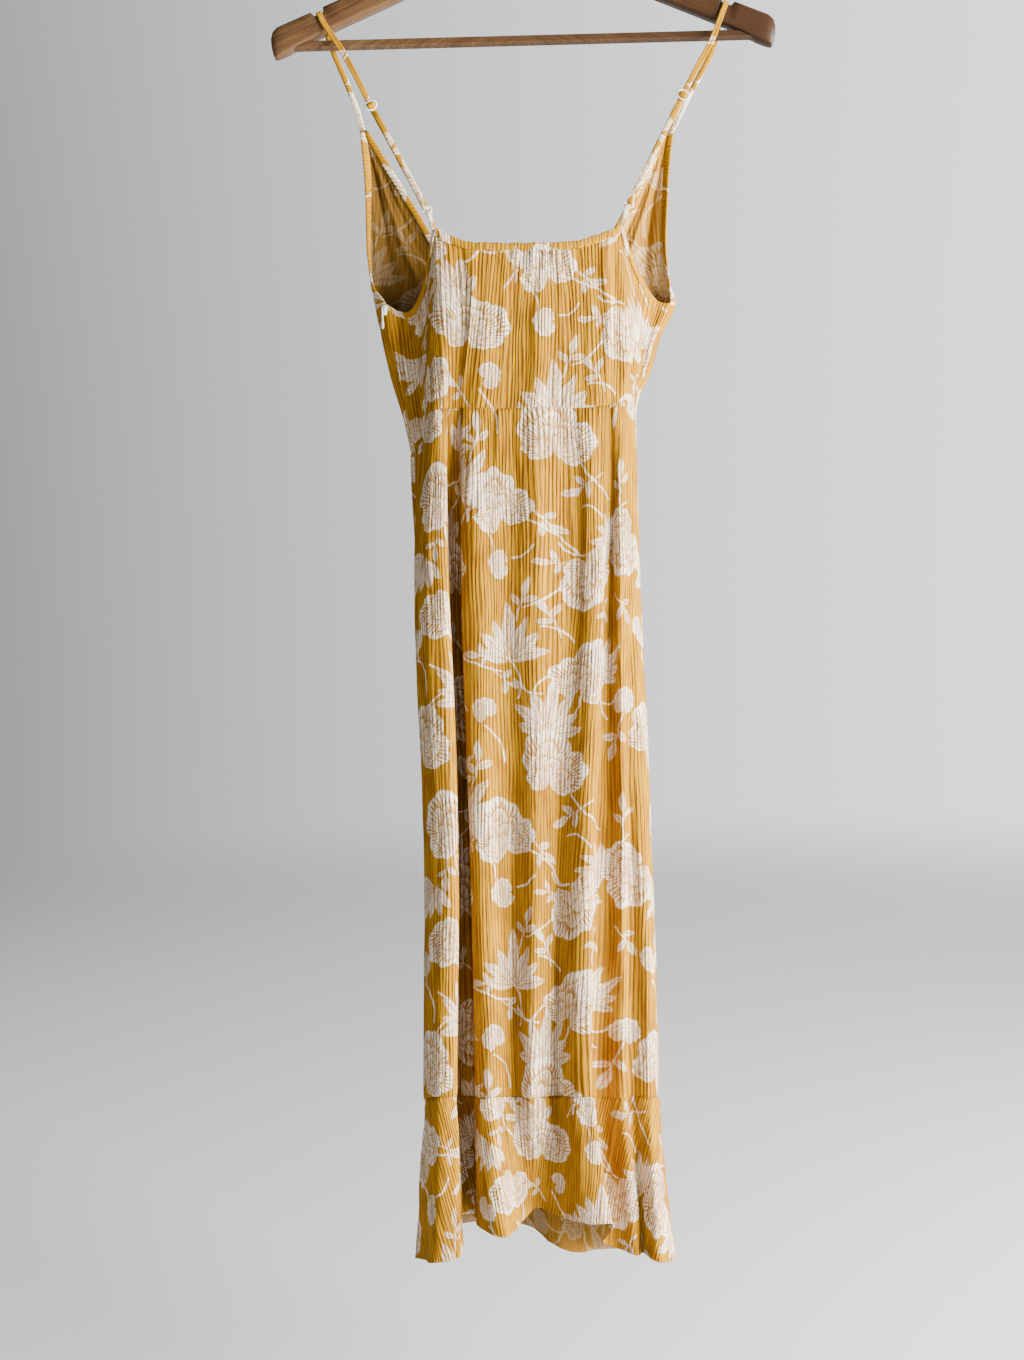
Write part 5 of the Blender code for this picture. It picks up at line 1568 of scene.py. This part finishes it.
# %% Straps, with the tabs that hold their rings
def make_strap(side):
    """A strap along its whole route, and the tab through its ring."""
    sign = -1 if side == "left" else 1
    marks = {name: np.array(place) for name, place in STRAPS[side].items()}
    slider, ring = marks["slider"], marks["ring"]
    tilt = math.radians(SHOULDER_SLOPE)
    level = np.array([math.cos(tilt), 0.0, -sign * math.sin(tilt)])
    down = unit(ring - slider)
    facing = unit(np.cross(down, level))
    facing = facing * -np.sign(facing[1])
    wide = unit(np.cross(down, facing))
    up_run = [marks[name] for name in ("sewn_end", "rise", "half_way", "below_arm")]
    down_run = [marks[name] for name in ("behind_arm", "above_slider")]
    weave = [marks[start] + down * drop + facing * out for start, drop, out in STRAP_WEAVE]
    path = smooth_route(up_run + list(over_notch(sign)) + down_run + weave, ROUTE_STEPS)
    across = np.tile(level, (len(path), 1))
    sizes = STRAP_WIDTH / 2, STRAP_THICKNESS / 2
    swell = [(slider, *SLIDER_SWELL)]
    length = make_band(f"strap_{side}_cloth", path, *sizes, across, f"strap_{side}", swell)
    print("strap", side, "is", round(length), "mm long")
    turn = [ring + down * drop + facing * out for drop, out in TAB_LOOP]
    front, back = (marks["corner"] + (0.0, away, -TAB_OVERLAP) for away in (-TAB_SPREAD, TAB_SPREAD))
    ends = [front, (front + turn[0]) / 2], [(back + turn[-1]) / 2, back]
    path = smooth_route(ends[0] + turn + ends[1], ROUTE_STEPS)
    across = np.tile(wide, (len(path), 1))
    sizes = TAB_HALF_WIDTH, TAB_HALF_THICKNESS
    make_band(f"ring_tab_{side}_cloth", path, *sizes, across, f"ring_tab_{side}")


make_strap("left")
make_strap("right")

# %% [markdown]
# ## Finishes for the hard pieces
#
# The solids already have their true shape, so the hanger's arms and hook, the sliders
# and the rings are welded copies with smooth shading. The bar and the zip only get their
# finishes.

# %% Paint the hard pieces
SHARP_EDGE = math.radians(38)


def paint(mesh, material):
    """Gives a mesh one finish all over."""
    mesh.materials.clear()
    mesh.materials.append(material)


def round_off(node, name, material):
    """A welded copy of a solid, shaded smooth except at its real edges."""
    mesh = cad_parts[node].data.copy()
    weld(mesh)
    mesh.set_sharp_from_angle(angle=SHARP_EDGE)
    paint(mesh, material)
    piece = place_object(name, mesh)
    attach(piece, "garment")
    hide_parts(node)


round_off("hanger_arm", "hanger_arm_wood", WOOD)
round_off("hanger_hook", "hanger_hook_wire", STEEL)
for side in ("left", "right"):
    round_off(f"slider_{side}", f"strap_slider_{side}", ENAMEL)
    round_off(f"ring_{side}", f"strap_ring_{side}", ENAMEL)
FINISHES = {"hanger_bar": WOOD, "zip_slider": ENAMEL, "zip_pull": ENAMEL, "zip_tape": TAPE}
for node, material in FINISHES.items():
    paint(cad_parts[node].data, material)

# %% [markdown]
# ## Light, floor and camera
#
# A big soft light on the right does what the window did. Two weak lights and a world that
# is brighter on that side fill the shade. The camera stands level with the dress's middle,
# 1.15 m away, and is rolled a little.

# %% Light and floor
FLOOR_LEVEL = -1.42
FLOOR_REACH = 30.0
# Each soft light: name, place, target, size in metres, power in watts, colour.
LIGHTS = (
    ("window", (1.75, -0.75, -0.62), (0.0, 0.0, -0.85), 1.4, 300, (1.0, 0.98, 0.94)),
    ("fill", (-1.6, -2.0, -1.3), (0.0, 0.0, -0.9), 1.6, 20, (0.95, 0.97, 1.0)),
    ("back_fill", (0.6, 2.4, 0.5), (0.0, 0.0, -0.7), 1.8, 20, (1.0, 0.99, 0.97)),
)


def area_light(name, place, target, size, power, colour):
    """A square soft light at a place, turned towards its target."""
    light = bpy.data.lights.new(name, "AREA")
    light.size = size
    light.energy = power
    light.color = colour
    lamp = place_object(name, light)
    lamp.location = place
    way = np.array(target) - np.array(place)
    lamp.rotation_mode = "QUATERNION"
    lamp.rotation_quaternion = mathutils.Vector(way).to_track_quat("-Z", "Y")


for row in LIGHTS:
    area_light(*row)

floor_mesh = bpy.data.meshes.new("floor")
signs = ((-1, -1), (1, -1), (1, 1), (-1, 1))
corners = [(x * FLOOR_REACH, y * FLOOR_REACH, FLOOR_LEVEL) for x, y in signs]
floor_mesh.from_pydata(corners, [], [(0, 1, 2, 3)])
floor_mesh.materials.append(FLOOR)
floor = place_object("floor", floor_mesh)
print("floor and", len(LIGHTS), "lights")

# %% World
# How bright the room is from far left to far right, and behind the camera and the dress.
ROOM_GREYS = ((0.0, 0.22), (0.3, 0.36), (0.7, 1.8), (1.0, 2.9))
ROOM_TINT = np.array([1.0, 1.01, 1.04])
ROOM_DEPTH = (-0.6, 0.6)
BEHIND_CAMERA, BEHIND_DRESS = 0.3, 1.0


def make_world():
    """The room as a backdrop: it brightens from left to right, and away from the camera."""
    world = bpy.data.worlds.new("studio")
    bpy.context.scene.world = world
    world.use_nodes = True
    sky = world.node_tree
    place = Wire(sky.nodes.new("ShaderNodeTexCoord").outputs["Generated"])
    x, y, _ = split(place)
    ramp = sky.nodes.new("ShaderNodeValToRGB")
    stops = ramp.color_ramp.elements
    for at, grey in ROOM_GREYS:
        stops.new(at).color = (*(ROOM_TINT * grey), 1)
    stops.remove(stops[0])
    stops.remove(stops[-1])
    feed(sky, ramp.inputs[0], map_range(sky, x, (-1.0, 1.0)))
    backdrop = sky.nodes["Background"].inputs
    sky.links.new(ramp.outputs["Color"], backdrop["Color"])
    feed(sky, backdrop["Strength"], map_range(sky, y, ROOM_DEPTH, (BEHIND_CAMERA, BEHIND_DRESS)))


make_world()

# %% Camera
CAMERA_LENS, CAMERA_SENSOR = 34.4, 36.0
CAMERA_PLACE = (-0.0248, -1.150, -0.730)
CAMERA_ROLL = math.radians(1.5)

camera_data = bpy.data.cameras.new("camera")
camera_data.lens = CAMERA_LENS
camera_data.sensor_width = CAMERA_SENSOR
camera = place_object("camera", camera_data)
camera.location = CAMERA_PLACE
camera.rotation_euler = (math.radians(90), CAMERA_ROLL, 0.0)
bpy.context.scene.camera = camera
